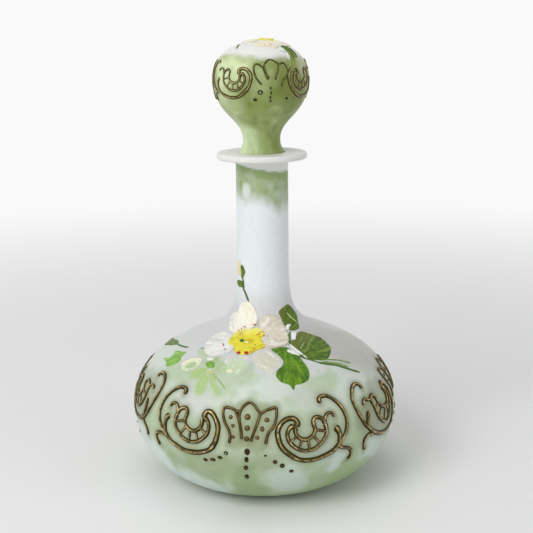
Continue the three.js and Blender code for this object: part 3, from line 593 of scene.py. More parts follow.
def soft_shape(angle, length, skin, outline, edge, ragged=0.0):
    """How much of a soft painted shape covers each place, from 0 to 1."""
    outline = np.array(outline, float)
    middle = outline[:, 0].mean()
    around = (angle - middle + 180) % 360 - 180
    flat = np.stack([np.radians(around) * skin.radius_at(length), length], axis=1)
    across = np.radians(outline[:, 0] - middle) * skin.radius_at(outline[:, 1])
    rim = through(np.stack([across, outline[:, 1]], axis=1), True, 1.0)
    low, high = rim.min(axis=0) - 2 * edge, rim.max(axis=0) + 2 * edge
    near = np.where(((flat > low) & (flat < high)).all(axis=1) & (abs(around) < BEHIND))[0]
    cover = np.zeros(len(angle))
    if len(near):
        wander = cloud(flat[near] + RAGGED_START, RAGGED_SIZE, 19) - 0.5
        gap = distance_inside(flat[near], rim) + ragged * wander
        cover[near] = ramp(gap, -edge, edge)
    return cover


BRUSH_PATCHES = [
    (MOSS_GREEN, 0.6, 5,
     [(34, -15), (48, -24), (60, -33), (76, -44), (70, -62), (40, -58), (26, -42), (28, -24)]),
    (MOSS_GREEN, 0.35, 5, [(-44, -10), (-30, -9), (-16, -12), (-20, -28), (-36, -30), (-46, -20)]),
    (STAINED_GREEN, 0.6, 5,
     [(-44, -6), (-30, -10), (-16, -4), (-6, -2), (4, -5), (3, -14), (-14, -20), (-34, -22),
      (-46, -14)]),
    (STAINED_GREEN, 0.7, 2.5, [(-16.5, 21), (-6.3, 24.3), (4.6, 21), (0.6, 1), (-7, -3), (-14.3, 1)]),
    (STAINED_GREEN, 0.3, 4, [(6, 14), (28, 16), (32, 4), (18, -6), (6, -2)]),
    (STAINED_GREEN, 0.2, 4, [(-44, 14), (-20, 16), (-18, 0), (-30, -6), (-44, 0)]),
    (DEEP_MOSS, 0.5, 3, [(-12, -12), (-3, -12), (-1, -26), (1, -48), (-5, -64), (-14, -60), (-14, -34)]),
    (STAINED_GREEN, 0.5, 3, [(-32, -4), (-24, -6), (-16, -4), (-14, -9), (-24, -11), (-33, -9)]),
    (STAINED_OLIVE, 0.5, 4, [(40, 8), (52, 22), (64, 24), (78, 12), (76, -4), (60, -6), (46, -2)]),
    (STAINED_OLIVE, 0.4, 3,
     [(-58, 27), (-52, 20), (-55, 8), (-62, 1), (-74, 2), (-84, 10), (-84, 24), (-70, 28)]),
    (BARE_PATCH, 0.6, 3.5, [(3, -14), (12, -12), (19, -16), (20, -24), (15, -33), (6, -33), (2, -24)]),
    (BARE_PATCH, 0.75, 2, [(31, -4), (36, -6), (35, -15), (29, -20), (27, -15)]),
    (BARE_PATCH, 0.7, 3, [(48, -6), (60, -8), (72, -16), (74, -28), (62, -25), (50, -16)]),
    (BARE_PATCH, 0.85, 4, [(-78, 0), (-58, -5), (-46, -14), (-46, -32), (-62, -42), (-82, -24)]),
    (BARE_PATCH, 0.7, 4, [(-40, -22), (-24, -25), (-19, -40), (-32, -50), (-50, -42)]),
    (PALE_GREEN, 0.75, 4, [(-62, 28), (-40, 24), (-22, 22), (-8, 30), (-6, 44), (-30, 50), (-52, 44)]),
    # Painted shade: the grey patch darkens the right of the shoulder, the side away from the lamp, over its
    # grey smudges.
    (SHOULDER_SHADE_GREY, 0.85, 8,
     [(36, 66), (56, 72), (90, 66), (108, 34), (94, 14), (68, 22), (50, 38), (40, 54)]),
    (PALE_GREEN, 0.8, 4, [(8, 22), (24, 20), (38, 28), (34, 36), (14, 32)]),
    (SHOULDER_WHITE_AND_SHADE, 0.65, 4, [(-42, 20), (-32, 14), (-24, 17), (-23, 27), (-34, 31), (-43, 27)]),
    (SHOULDER_WHITE_AND_SHADE, 0.5, 4, [(2, 34), (20, 30), (32, 26), (34, 20), (20, 20), (6, 27)]),
    (MINT_WHITE, 0.4, 2, [(-36, 8), (-24, 8), (-22, -1), (-30, -3), (-39, 0)]),
    (MINT_WHITE, 0.9, 3, [(-14, 34), (0, 40), (6, 32), (2, 26), (-12, 27)]),
]
NECK_BARE = [(-46, 157), (-30, 157), (-27, 152), (-36, 149), (-48, 152)]
print("brush patches on the belly and shoulder:", len(BRUSH_PATCHES))

# %% Wash the bottle
BLOTCH, PATCH, DAB, TOUCH, SPECK = 30, 22, 15, 13, 7
MINT_TOP, MINT_FADE, GREEN_TOP, GREEN_FADE, MOSS_TOP, MOSS_FADE = 58, 30, 30, 24, 2, 30
MINT_WANDER, GREEN_WANDER, MOSS_WANDER, PATCH_EDGE = 26, 16, 20, 9
LONG_BLOTCH, LONG_DAB, LONG_PATCH = (1, 1, 0.6), (1, 1, 0.55), (1, 1, 0.7)
BARE_AMOUNT, BARE_TOP, BARE_FADE = 0.5, 6, 20
TOUCH_AMOUNT, TOUCH_LOW, TOUCH_TOP, TOUCH_FADE = 0.45, 8, 56, 12
NECK_START, NECK_CLEAR = 96, 116
RUN_GIRTH, RUN_STRETCH, RUN_SIZE, DAB_ON_NECK = 14, 0.45, 9, 5
GREEN_FOOT, GREEN_LEAN, GREEN_RUN, GREEN_RISE = 154.5, 2, 14, 14
COLLAR, COLLAR_LEAN, COLLAR_TURN, COLLAR_WAVE, WAVE_SIZE, COLLAR_EDGE = 179.2, 2.6, 0.3, 1.6, 7, 0.5
NECK_BARE_AMOUNT, NECK_BARE_EDGE, NECK_GREEN_AMOUNT = 0.7, 1.5, 0.95


def wash_belly(angle, length):
    """The belly and shoulder: mint, green and moss by height, then the patches, and the olive smudge and
    painted shade beside the lines.
    """
    turn = np.radians(angle)
    round_place = np.stack([np.sin(turn) * BELLY_RADIUS, -np.cos(turn) * BELLY_RADIUS, length], axis=1)
    blotch = cloud(round_place * LONG_BLOTCH, BLOTCH, 3)
    dab = cloud(round_place * LONG_DAB, DAB, 11)
    small = cloud(round_place, SPECK, 23)
    # The base colour is the shoulder's grey-white, in part painted shade.
    colour = np.tile(linear(SHOULDER_WHITE_AND_SHADE), (len(angle), 1))
    colour = blend(colour, MINT_WHITE, ramp(MINT_TOP - length + MINT_WANDER * (blotch - 0.5), 0, MINT_FADE))
    green = ramp(GREEN_TOP - length + GREEN_WANDER * (blotch - 0.5), 0, GREEN_FADE)
    colour = blend(colour, PALE_GREEN, green * (0.6 + 0.4 * ramp(dab, 0.3, 0.7)))
    moss = ramp(MOSS_TOP - length + MOSS_WANDER * (dab - 0.5), 0, MOSS_FADE)
    colour = blend(colour, MOSS_GREEN, moss * (0.5 + 0.3 * ramp(small, 0.3, 0.75)))
    bare = ramp(cloud(round_place * LONG_PATCH, PATCH, 41, 2), 0.56, 0.7)
    bare = bare * ramp(BARE_TOP - length, 0, BARE_FADE)
    colour = blend(colour, BARE_PATCH, bare * BARE_AMOUNT)
    for tint, amount, edge, outline in BRUSH_PATCHES:
        cover = soft_shape(angle, length, BOTTLE, outline, edge, PATCH_EDGE)
        colour = blend(colour, tint, cover * amount * (0.75 + 0.4 * small))
    touch = ramp(cloud(round_place, TOUCH, 77), 0.58, 0.72)
    touch = touch * ramp(length, TOUCH_LOW, TOUCH_LOW + TOUCH_FADE)
    touch = touch * ramp(TOUCH_TOP - length, 0, TOUCH_FADE)
    colour = blend(colour, PALE_GREEN, touch * TOUCH_AMOUNT)
    return blend(colour, HALO_OLIVE, band_halo(angle, length) * HALO_STRENGTH)


def wash_bottle(angle, length, height):
    """The whole outside: the belly's wash, then the white neck with its band of green and bare lip."""
    turn = np.radians(angle)
    colour = blend(wash_belly(angle, length), NECK_WHITE, ramp(height, NECK_START, NECK_CLEAR))
    drips = np.stack([np.sin(turn) * RUN_GIRTH, np.cos(turn) * RUN_GIRTH, height * RUN_STRETCH], axis=1)
    run = cloud(drips, RUN_SIZE, 5)
    around = np.stack([np.sin(turn), np.cos(turn), turn * 0], axis=1) * NECK_RADIUS
    dabs = cloud(around + np.stack([turn * 0, turn * 0, height], axis=1), DAB_ON_NECK, 29)
    wave = COLLAR_WAVE * (cloud(around, WAVE_SIZE, 9) - 0.5)
    collar = COLLAR - COLLAR_LEAN * np.sin(turn + COLLAR_TURN) + wave
    above_foot = height - GREEN_FOOT + GREEN_LEAN * np.sin(turn) - GREEN_RUN * (run - 0.5)
    green = ramp(above_foot, 0, GREEN_RISE) * (0.9 + 0.8 * (dabs - 0.5))
    green = green * (1 - NECK_BARE_AMOUNT * soft_shape(angle, length, BOTTLE, NECK_BARE, NECK_BARE_EDGE))
    below_collar = ramp(collar - height, -COLLAR_EDGE, COLLAR_EDGE)
    colour = blend(colour, NECK_GREEN, np.clip(green, 0, 1) * below_collar * NECK_GREEN_AMOUNT)
    return blend(colour, LIP_WHITE, ramp(height - collar, -COLLAR_EDGE, COLLAR_EDGE))


sample = wash_bottle(np.array([0.0]), np.array([0.0]), np.array([BELLY_RISE]))[0]
print("wash at the front of the belly:", ", ".join(f"{part:.2f}" for part in sample))

# %% [markdown]
# ## Turn the bottle
# The outline runs from the middle of the punt under the foot, out and up over the belly and neck,
# round the lip, and back down inside to the floor. Blender's screw modifier could turn it, but then
# the paint at each point would have to be found afterwards. Turned here in 400 steps, each point's angle
# and height are known, and the edge looks round from close by. The number is a multiple of four, so
# that the widest points lie exactly on the frame's box.

# %% Turn an outline
def turned(profile, steps):
    """Points and faces of a closed turned body whose profile starts and ends on the axis."""
    body = profile[1:-1]
    turn = np.linspace(0, 2 * math.pi, steps, endpoint=False)
    ring = np.stack([np.sin(turn), -np.cos(turn)], axis=1)
    points = np.empty((len(body), steps, 3))
    points[:, :, :2] = body[:, None, :1] * ring
    points[:, :, 2] = body[:, None, 1]
    points = points.reshape(-1, 3)
    faces = grid_faces(len(body), steps)
    first, last = len(points), len(points) + 1
    points = np.vstack([points, [[0, 0, profile[0, 1]], [0, 0, profile[-1, 1]]]])
    end = (len(body) - 1) * steps
    for j in range(steps):
        k = (j + 1) % steps
        faces.append((first, k, j))
        faces.append((last, end + j, end + k))
    return points, faces


def run_along(path):
    """The distance along a path at each of its points."""
    return np.concatenate([[0], np.cumsum(np.linalg.norm(np.diff(path, axis=0), axis=1))])


print("a short turned cone has", len(turned(np.array([[0, 0], [2, 0], [1, 2], [0, 2]]), 8)[1]), "faces")

# %% Outline of the bottle
OUTSIDE_STEPS, INSIDE_STEPS = (84, 100, 40, 50), (16, 18, 10, 4)
PUNT_FLAT_SHARE, PUNT_HAUNCH_SHARE, PUNT_HAUNCH_RISE, RING_ROUND = 0.58, 0.83, 0.3, 2
FLARE_HOLD, FLARE_SPREAD = 0.7, 0.75
SEAT_EASE, SEAT_THIRD = 0.4, 9
FLOOR_HAUNCH_SHARE, FLOOR_FLAT_SHARE = 0.8, 0.5
ring_inner = FOOT_RADIUS - FOOT_RING_WIDTH
punt = bend((0, PUNT_RISE), (ring_inner * PUNT_FLAT_SHARE, PUNT_RISE),
            (ring_inner * PUNT_HAUNCH_SHARE, PUNT_RISE * PUNT_HAUNCH_RISE), (ring_inner, 0), 14)
foot = bend((ring_inner, 0), (ring_inner + RING_ROUND, 0), (FOOT_RADIUS - RING_ROUND, 0),
            (FOOT_RADIUS, 0), 4)
flare = bend((NECK_RADIUS, FLARE_HEIGHT), (NECK_RADIUS, FLARE_HEIGHT + FLARE_RISE * FLARE_HOLD),
             (FLARE_RADIUS - (FLARE_RADIUS - NECK_RADIUS) * FLARE_SPREAD, LIP_UNDERSIDE),
             (FLARE_RADIUS, LIP_UNDERSIDE), 10)
lip = np.vstack([round_edge((LIP_RADIUS - LIP_CORNER, LIP_UNDERSIDE + LIP_CORNER), LIP_CORNER, -90, 0, 6),
                 round_edge((LIP_RADIUS - LIP_CORNER, LIP_TOP - LIP_CORNER), LIP_CORNER, 0, 90, 6)])
mouth = round_edge((SEAT_RADIUS + MOUTH_BEVEL, LIP_TOP - MOUTH_BEVEL), MOUTH_BEVEL, 90, 180, 4)
seat_end = LIP_TOP - SEAT_LENGTH
seat = bend((SEAT_RADIUS, LIP_TOP - MOUTH_BEVEL), (SEAT_RADIUS - SEAT_EASE, LIP_TOP - SEAT_THIRD),
            (SEAT_RADIUS - SEAT_TAPER * 2 * SEAT_THIRD, LIP_TOP - 2 * SEAT_THIRD),
            (SEAT_RADIUS - SEAT_TAPER * SEAT_LENGTH, seat_end), 8)
outside = joined(punt, foot, *bottle_zones(OUTSIDE_STEPS), flare)
inner = inset(joined(*bottle_zones(INSIDE_STEPS)[:3]), WALL, 1)[::-1]
floor_height = PUNT_RISE + BASE_THICKNESS
floor = bend(inner[-1], (FOOT_RADIUS * FLOOR_HAUNCH_SHARE, WALL),
             (FOOT_RADIUS * FLOOR_FLAT_SHARE, floor_height), (0, floor_height), 10)
inside = np.vstack([mouth, seat[1:], [[NECK_RADIUS - WALL, seat_end - WALL]], inner, floor[1:]])
bottle_profile = np.vstack([outside, lip, inside])
print("outline of the bottle:", len(bottle_profile), "points,", len(outside), "of them outside")

# %% Bottle glass
BOTTLE_STEPS = 400
PUNT_MIDDLE, FLOOR_MIDDLE = -120, 600
points, faces = turned(bottle_profile, BOTTLE_STEPS)
profile_run = run_along(bottle_profile)
widest = int(np.argmax(bottle_profile[:, 0]))
rows = np.repeat(profile_run[1:-1] - profile_run[widest], BOTTLE_STEPS)
length = np.concatenate([rows, [PUNT_MIDDLE, FLOOR_MIDDLE]])
angle = np.degrees(np.arctan2(points[:, 0], -points[:, 1]))
outer = len(outside) * BOTTLE_STEPS
paint = np.tile(linear(LIP_WHITE), (len(points), 1))
paint[:outer] = wash_bottle(angle[:outer], length[:outer], points[:outer, 2])
make_piece("bottle", points, faces, paint, satin_glass, "bottle", ["bottle_glass"])
print("bottle has", len(points), "points; the wash covers", outer)

# %% [markdown]
# ## Turn the stopper
# The stopper is a second blown bubble: ball, waist, a shoulder that sits on the lip, and a ground
# shank that runs down inside the neck. Its wash is a deeper olive green, lighter on the upper left
# where the brush ran dry, and streaked where it was drawn down over the waist. The crown is left
# white, with a wavy edge. It is turned and painted just as the bottle is.

# %% Colours of the stopper's wash
OLIVE_GREEN = (160, 174, 118)
DEEP_OLIVE = (130, 147, 66)
DARK_OLIVE = (110, 122, 42)
DRY_GREEN = (208, 222, 174)
CROWN_WHITE = (226, 226, 222)
WAIST_GREEN = (212, 230, 186)
PALE_RIGHT_PATCH = (186, 194, 150)
STREAK_GREEN = (134, 164, 82)
STOPPER_PATCHES = [
    (DRY_GREEN, 0.95, 4,
     [(-72, 10), (-58, 13), (-42, 15), (-28, 12), (-14, 11), (-16, 6), (-23, 1), (-31, -2), (-42, -4),
      (-56, -6), (-66, 0)]),
    (DARK_OLIVE, 0.75, 5,
     [(10, 9), (26, 11), (44, 9), (70, 8), (84, -2), (74, -16), (50, -22), (26, -14), (10, -4)]),
    (DARK_OLIVE, 0.4, 4, [(-28, 0), (-8, -2), (-8, -14), (-24, -16), (-34, -8)]),
    (DRY_GREEN, 0.35, 5, [(-74, -6), (-30, -8), (-22, -20), (-44, -25), (-74, -22)]),
    # A paler patch on the right of the ball.
    (PALE_RIGHT_PATCH, 0.8, 3, [(52, 13), (66, 15), (84, 11), (80, 1), (62, -1), (52, 1), (48, 7)]),
    (WAIST_GREEN, 0.95, 6, [(-88, -28), (-56, -26), (-40, -30), (-34, -38), (-36, -47), (-88, -47)]),
    (WAIST_GREEN, 0.3, 3, [(-30, -32), (-4, -34), (2, -40), (-4, -47), (-30, -47)]),
    (DEEP_OLIVE, 0.6, 4, [(6, -27), (20, -26), (26, -36), (22, -47), (8, -47), (4, -36)]),
    (DEEP_OLIVE, 0.8, 5, [(46, -24), (66, -22), (88, -24), (88, -46), (60, -46), (50, -36)]),
]
print("brush patches on the stopper:", len(STOPPER_PATCHES))

# %% Wash the stopper
CROWN_EDGE, CROWN_REACH, CROWN_REACH_ANGLE, CROWN_REACH_WIDTH, CROWN_SOFT = 11.2, 3.2, -48, 26, 2.5
STOPPER_BLOTCH, STOPPER_SPECK, STOPPER_DAB, STREAK_SIZE, STOPPER_PATCH_EDGE = 14, 5, 3.5, 4, 6
STREAK_TOP, STREAK_FULL, STREAK_LEFT, STREAK_RIGHT, STREAK_AMOUNT = 22, 32, -50, -20, 0.5
DEEP_AMOUNT, DRY_AMOUNT, DAB_AMOUNT, LONG_STREAK = 0.8, 0.3, 0.45, (1.6, 1.6, 0.35)
CROWN_WAVE, CROWN_WAVE_SIZE, CROWN_RAG, CROWN_RAG_SIZE = 4, 12, 3, 4


def wash_stopper(angle, length):
    """Olive with blotches, patches and streaks, and the white crown over them."""
    turn = np.radians(angle)
    radius = STOPPER.radius_at(length)
    place = np.stack([np.sin(turn) * radius, -np.cos(turn) * radius, length], axis=1)
    blotch, small = cloud(place, STOPPER_BLOTCH, 31), cloud(place, STOPPER_SPECK, 37)
    colour = blend(np.tile(linear(OLIVE_GREEN), (len(angle), 1)), DEEP_OLIVE,
                   ramp(blotch, 0.35, 0.7) * DEEP_AMOUNT)
    colour = blend(colour, DRY_GREEN, ramp(small, 0.54, 0.74) * DRY_AMOUNT)
    dab = cloud(place * LONG_BLOTCH, STOPPER_DAB, 47)
    colour = blend(colour, DARK_OLIVE, ramp(dab, 0.48, 0.68) * DAB_AMOUNT)
    for tint, amount, edge, outline in STOPPER_PATCHES:
        cover = soft_shape(angle, length, STOPPER, outline, edge, STOPPER_PATCH_EDGE)
        colour = blend(colour, tint, np.clip(cover * amount * (1 + 0.9 * (small - 0.5)), 0, 1))
    streak = ramp(cloud(place * LONG_STREAK, STREAK_SIZE, 61), 0.5, 0.68)
    streak = streak * ramp(-length, STREAK_TOP, STREAK_FULL) * ramp(angle, STREAK_LEFT, STREAK_RIGHT)
    colour = blend(colour, STREAK_GREEN, streak * STREAK_AMOUNT)
    ring = np.stack([np.sin(turn), -np.cos(turn), turn * 0], axis=1) * GLOBE_RADIUS
    reach = CROWN_REACH * np.exp(-((angle - CROWN_REACH_ANGLE) / CROWN_REACH_WIDTH) ** 2)
    wave = CROWN_WAVE * (cloud(ring, CROWN_WAVE_SIZE, 43) - 0.5)
    edge = CROWN_EDGE + reach + wave + CROWN_RAG * (cloud(place, CROWN_RAG_SIZE, 49) - 0.5)
    return blend(colour, CROWN_WHITE, ramp(length - edge, -CROWN_SOFT, CROWN_SOFT))


sample = wash_stopper(np.array([0.0]), np.array([0.0]))[0]
print("wash at the front of the ball:", ", ".join(f"{part:.2f}" for part in sample))

# %% Stopper glass
STOPPER_STEPS, CROWN_TO_SHOULDER_STEPS, SHELL_STEPS = 256, (56, 56, 10), (26, 30, 4)
SHANK_EASE, SHANK_THIRD, END_BEVEL_SHARE, FLOOR_BEVEL = 0.4, 8, 0.3, 2
SHANK_MIDDLE = -200
shoulder_down = joined(*stopper_zones(CROWN_TO_SHOULDER_STEPS))
shank_end = LIP_TOP - SHANK_LENGTH
shank_radius = SEAT_RADIUS - SEAT_CLEARANCE
end_radius = shank_radius - SEAT_TAPER * SHANK_LENGTH
bevel = STOPPER_WALL * END_BEVEL_SHARE
floor_height = shank_end + SHANK_END_THICKNESS
shank = bend((shank_radius, LIP_TOP), (shank_radius - SHANK_EASE, LIP_TOP - SHANK_THIRD),
             (end_radius + SHANK_EASE, shank_end + SHANK_THIRD), (end_radius, shank_end + bevel), 10)
shell = inset(joined(*stopper_zones(SHELL_STEPS)[:2]), STOPPER_WALL, -1)[::-1]
shell[-1] = (0, CROWN_HEIGHT - STOPPER_WALL)
hollow_radius = end_radius - STOPPER_WALL
stopper_profile = np.vstack([
    shoulder_down, shank,
    [(end_radius - bevel, shank_end), (VENT_RADIUS, shank_end), (VENT_RADIUS, floor_height),
     (hollow_radius - FLOOR_BEVEL, floor_height), (hollow_radius, floor_height + FLOOR_BEVEL)],
    shell,
])
points, faces = turned(stopper_profile, STOPPER_STEPS)
rows = np.repeat(run_along(stopper_profile)[1:-1], STOPPER_STEPS)
widest_run = rows[np.argmax(points[:-2, 0])]
length = np.concatenate([widest_run - rows, [STOPPER.length[-1], SHANK_MIDDLE]])
angle = np.degrees(np.arctan2(points[:, 0], -points[:, 1]))
paint = np.tile(linear(LIP_WHITE), (len(points), 1))
shown = np.zeros(len(points), bool)
shown[:len(shoulder_down) * STOPPER_STEPS] = True
shown[-2] = True
paint[shown] = wash_stopper(angle[shown], length[shown])
make_piece("stopper", points, faces, paint, satin_glass, "stopper", ["stopper_glass"])
print("stopper has", len(points), "points")

# %% [markdown]
# ## Raised gilt lines
# The paste is trailed from a fine nozzle: it lies as a round ridge with a thin dark skirt on each
# side, where it was first drawn and where the gilt has worn off. A bevelled curve could make a round
# cord, but it would float or cut into the glass. Here a cross-section is carried along the path and
# turned at each step to face out of the glass, and its width and height waver as a hand's do.

# %% Paint of a gilt line
# The palest gilt colour is a painted highlight, put in spots along the crest of the lines.
PAINTED_GILT_HIGHLIGHT = (228, 204, 160)
GILT_CREST = (166, 144, 90)
GILT_FLANK = (90, 77, 38)
GILT_SKIRT = (47, 45, 14)
HALF_SECTION = [(1, -0.06, 0), (0.95, 0.1, 0), (0.7, 0.16, 0.05), (0.54, 0.36, 0.15), (0.4, 0.72, 0.42),
                (0.2, 0.95, 0.88)]
LINE_SECTION = np.array([(-x, y, share) for x, y, share in HALF_SECTION] + [(0, 1, 1)] + HALF_SECTION[::-1])
WEAR_SIZE, FLANK_WEAR, CREST_WEAR, HIGHLIGHT_SPOT_SIZE, HIGHLIGHT_SPOT_AMOUNT = 2.2, 0.3, 1.5, 1.6, 0.75


def crest_paint(share, place, crest=GILT_CREST, flank=GILT_FLANK, skirt=GILT_SKIRT):
    """Light on the worn crest, brown on the flanks, dark on the skirt, and on the gilt a painted highlight
    in spots along the crest.
    """
    worn = cloud(place, WEAR_SIZE, 51) - 0.5
    colour = np.tile(linear(skirt), (len(share), 1))
    colour = blend(colour, flank, ramp(share + worn * FLANK_WEAR, 0.1, 0.5))
    colour = blend(colour, crest, ramp(share + worn * CREST_WEAR, 0.6, 1.2))
    if crest != GILT_CREST:
        return colour
    # Painted highlight: spots of pale gold on the crest, where the brush noise is high.
    painted_highlight = ramp(cloud(place, HIGHLIGHT_SPOT_SIZE, 57), 0.5, 0.7) * ramp(share, 0.6, 1)
    return blend(colour, PAINTED_GILT_HIGHLIGHT, painted_highlight * HIGHLIGHT_SPOT_AMOUNT)


print("the section of a line has", len(LINE_SECTION), "points")

# %% Trail a line
END_BLOB, END_THINNEST, BLOB_PLACE, BLOB_WIDTH, SWAY_SIZE, SWAY = 0.25, 0.004, 1.1, 0.9, 3.5, 0.3


def trail(heap, skin, path, half_width, height, seed, lift=0.0, blob=END_BLOB, colours=None):
    """Adds one raised line. path is rows of angle and length; blob swells or thins its ends."""
    places = np.array(path)
    base = skin.place(places[:, 0], places[:, 1], np.full(len(places), lift))
    up = skin.outwards(places[:, 0], places[:, 1])
    along = np.gradient(base, axis=0)
    along /= np.linalg.norm(along, axis=1)[:, None]
    across = np.cross(along, up)
    run = run_along(base)
    to_end = np.minimum(run, run[-1] - run)
    rounded = np.sqrt(np.clip(1 - (1 - np.clip(to_end / half_width, 0, 1)) ** 2, END_THINNEST, 1))
    swell = 1 + blob * np.exp(-((to_end / half_width - BLOB_PLACE) / BLOB_WIDTH) ** 2)
    sway = cloud(np.stack([run, run * 0 + seed, run * 0], axis=1), SWAY_SIZE, seed, 2) - 0.5
    width = half_width * rounded * swell * (1 + SWAY * sway)
    rise = height * rounded * (0.5 + 0.5 * swell) * (1 - SWAY * sway)
    points = (base[:, None] + across[:, None] * (width[:, None] * LINE_SECTION[:, 0])[..., None]
              + up[:, None] * (rise[:, None] * LINE_SECTION[:, 1])[..., None])
    columns = len(LINE_SECTION)
    points = points.reshape(-1, 3)
    faces = grid_faces(len(base), columns)
    faces.append(tuple(range(columns)))
    faces.append(tuple(reversed(range(len(points) - columns, len(points)))))
    share = np.tile(LINE_SECTION[:, 2], len(base))
    heap.add(points, faces, crest_paint(share, points, *(colours or ())))


def painted_lines(heap, skin, strokes, height, seed, lift, blob, spacing):
    """Trails strokes of one colour each; a stroke is its colour, half width and places."""
    for i, (tint, half_width, path) in enumerate(strokes):
        places = through(path, False, spacing)
        trail(heap, skin, places, half_width, height, seed + i, lift, blob, (tint,) * 3)


def band_path(skin, angle, side, scale, lift, path, spacing=0.5):
    """A motif's flat path, in mm across and up, as places on the glass."""
    flat = through(path, False, spacing / scale)
    degrees = math.degrees(scale / skin.girth)
    return np.stack([angle + side * flat[:, 0] * degrees, flat[:, 1] * scale + lift], axis=1)


front_hook = band_path(BOTTLE, BAND_ANGLE, 1, 1, 0, SCROLL_LINES["sweep"])
print("a great hook is laid through", len(front_hook), "places")

# %% [markdown]
# ## Lay the band
# Each line of the pattern is trailed on the glass, the little rungs first and the long lines over
# their ends. The palmettes are laid thinner and duller than the scrolls, as on the real thing.

# %% Scrolls and palmettes
SCROLL_HEIGHT, RUNG_HEIGHT_SHARE = 0.85, 0.7
PALMETTE_HALF_WIDTH, PALMETTE_HEIGHT_SHARE, PALMETTE_BLOB = 0.82, 0.85, 0.1
PALMETTE_GILT = (142, 120, 74), (84, 72, 38), (62, 58, 28)


def scroll_piece(name, node, skin, body, angle, side, scale, lift, lines, seed, grow=1.0, colours=None):
    """One scroll as a piece of its own; grow scales the paste's width and height."""
    heap = Heap()
    for i, (part, line) in enumerate(lines.items()):
        kind = part.split("_")[0]
        rise, blob = (RUNG_HEIGHT_SHARE, 0) if kind == "rung" else (1, END_BLOB)
        path = band_path(skin, angle, side, scale, lift, line)
        trail(heap, skin, path, LINE_HALF_WIDTHS[kind] * grow, SCROLL_HEIGHT * rise * grow, seed + i,
              blob=blob, colours=colours)
    return heap.make(name, gilt_paste, body, "gilt_enamel", [node])


def palmette_piece(name, node, skin, body, angle, scale, lift, lines, seed, colours, grow=1.0):
    """One palmette as a piece of its own."""
    heap = Heap()
    for i, line in enumerate(lines):
        path = band_path(skin, angle, 1, scale, lift, line)
        trail(heap, skin, path, PALMETTE_HALF_WIDTH * grow, SCROLL_HEIGHT * PALMETTE_HEIGHT_SHARE * grow,
              seed + i, blob=PALMETTE_BLOB, colours=colours)
    return heap.make(name, gilt_paste, body, "gilt_enamel", [node])


for i in range(BAND_REPEATS):
    here = BAND_ANGLE + i * 360 / BAND_REPEATS
    scroll_piece(f"gilt_scroll_left_{i + 1}", f"scroll_left_{i + 1}", BOTTLE, "bottle", here, -1, 1,
                 LEFT_LIFTS[i], scroll_lines(-1, i), 100 + 40 * i)
    scroll_piece(f"gilt_scroll_right_{i + 1}", f"scroll_right_{i + 1}", BOTTLE, "bottle", here, 1, 1,
                 RIGHT_LIFTS[i], scroll_lines(1, i), 120 + 40 * i)
    palmette_piece(f"gilt_palmette_{i + 1}", f"palmette_{i + 1}", BOTTLE, "bottle", here, 1,
                   PALMETTE_LIFTS[i], PALMETTE_LINES, 300 + 20 * i, PALMETTE_GILT)
print("laid", BAND_REPEATS, "palmettes and", 2 * BAND_REPEATS, "scrolls")

# %% [markdown]
# ## Beads of paste
# Between the lines the decorator touched on dots: a pinch of paste that slumps into a low dome. A few
# stayed open, like little rings. The second repeat has none on its left, where a large scroll left no
# room. A half sphere would look machine made, so each dome is built from rings that are pushed in and
# out a little, at its own place and facing its own way.

# %% Make a dot
BEAD_RINGS = [(1, -0.08), (1, 0.12), (0.86, 0.5), (0.62, 0.82), (0.32, 0.97)]
BEAD_SIDES, BEAD_UNEVEN = 18, 0.16
BEAD_BROWN = (92, 72, 38), (50, 40, 16), (34, 28, 8)
OPEN_BROWN = (150, 164, 122), *BEAD_BROWN[1:]
OPEN_RIM, OPEN_MIDDLE, OPEN_DIP, OPEN_FLOOR, MIDDLE_RINGS = 0.3, 1.4, 0.6, 0.4, 0.5


def bead(heap, skin, angle, length, across, along, height, hollow=False, colours=BEAD_BROWN):
    """Adds one dot, across and along being its half widths; a hollow one shows the wash inside."""
    centre = skin.place(angle, length)
    up = skin.outwards(angle, length)
    east = np.array([math.cos(math.radians(angle)), math.sin(math.radians(angle)), 0])
    north = np.cross(up, east)
    turn = np.linspace(0, 2 * math.pi, BEAD_SIDES, endpoint=False)
    edge = np.stack([np.cos(turn) * 2, np.sin(turn) * 2, turn * 0 + angle + length], axis=1)
    reach = 1 + BEAD_UNEVEN * (cloud(edge, 1.6, 7, 2) - 0.5)
    rows, share = [], []
    for size, rise in BEAD_RINGS:
        dip = OPEN_DIP if hollow and size < MIDDLE_RINGS else 1
        rows.append(centre + (east * (across * size * reach * np.cos(turn))[:, None]
                              + north * (along * size * reach * np.sin(turn))[:, None]
                              + up * height * rise * dip))
        open_share = OPEN_MIDDLE if size < MIDDLE_RINGS else OPEN_RIM
        share += [open_share if hollow else rise] * BEAD_SIDES
    points = np.vstack(rows + [centre + up * height * (OPEN_FLOOR if hollow else 1)])
    share = np.array(share + [OPEN_MIDDLE if hollow else 1.0])
    faces = grid_faces(len(BEAD_RINGS), BEAD_SIDES)
    top = len(points) - 1
    last = top - BEAD_SIDES
    faces += [(last + j, last + (j + 1) % BEAD_SIDES, top) for j in range(BEAD_SIDES)]
    faces.append(tuple(reversed(range(BEAD_SIDES))))
    heap.add(points, faces, crest_paint(share, points, *(OPEN_BROWN if hollow else colours)))


print("a dot has", len(BEAD_RINGS) * BEAD_SIDES + 1, "points")

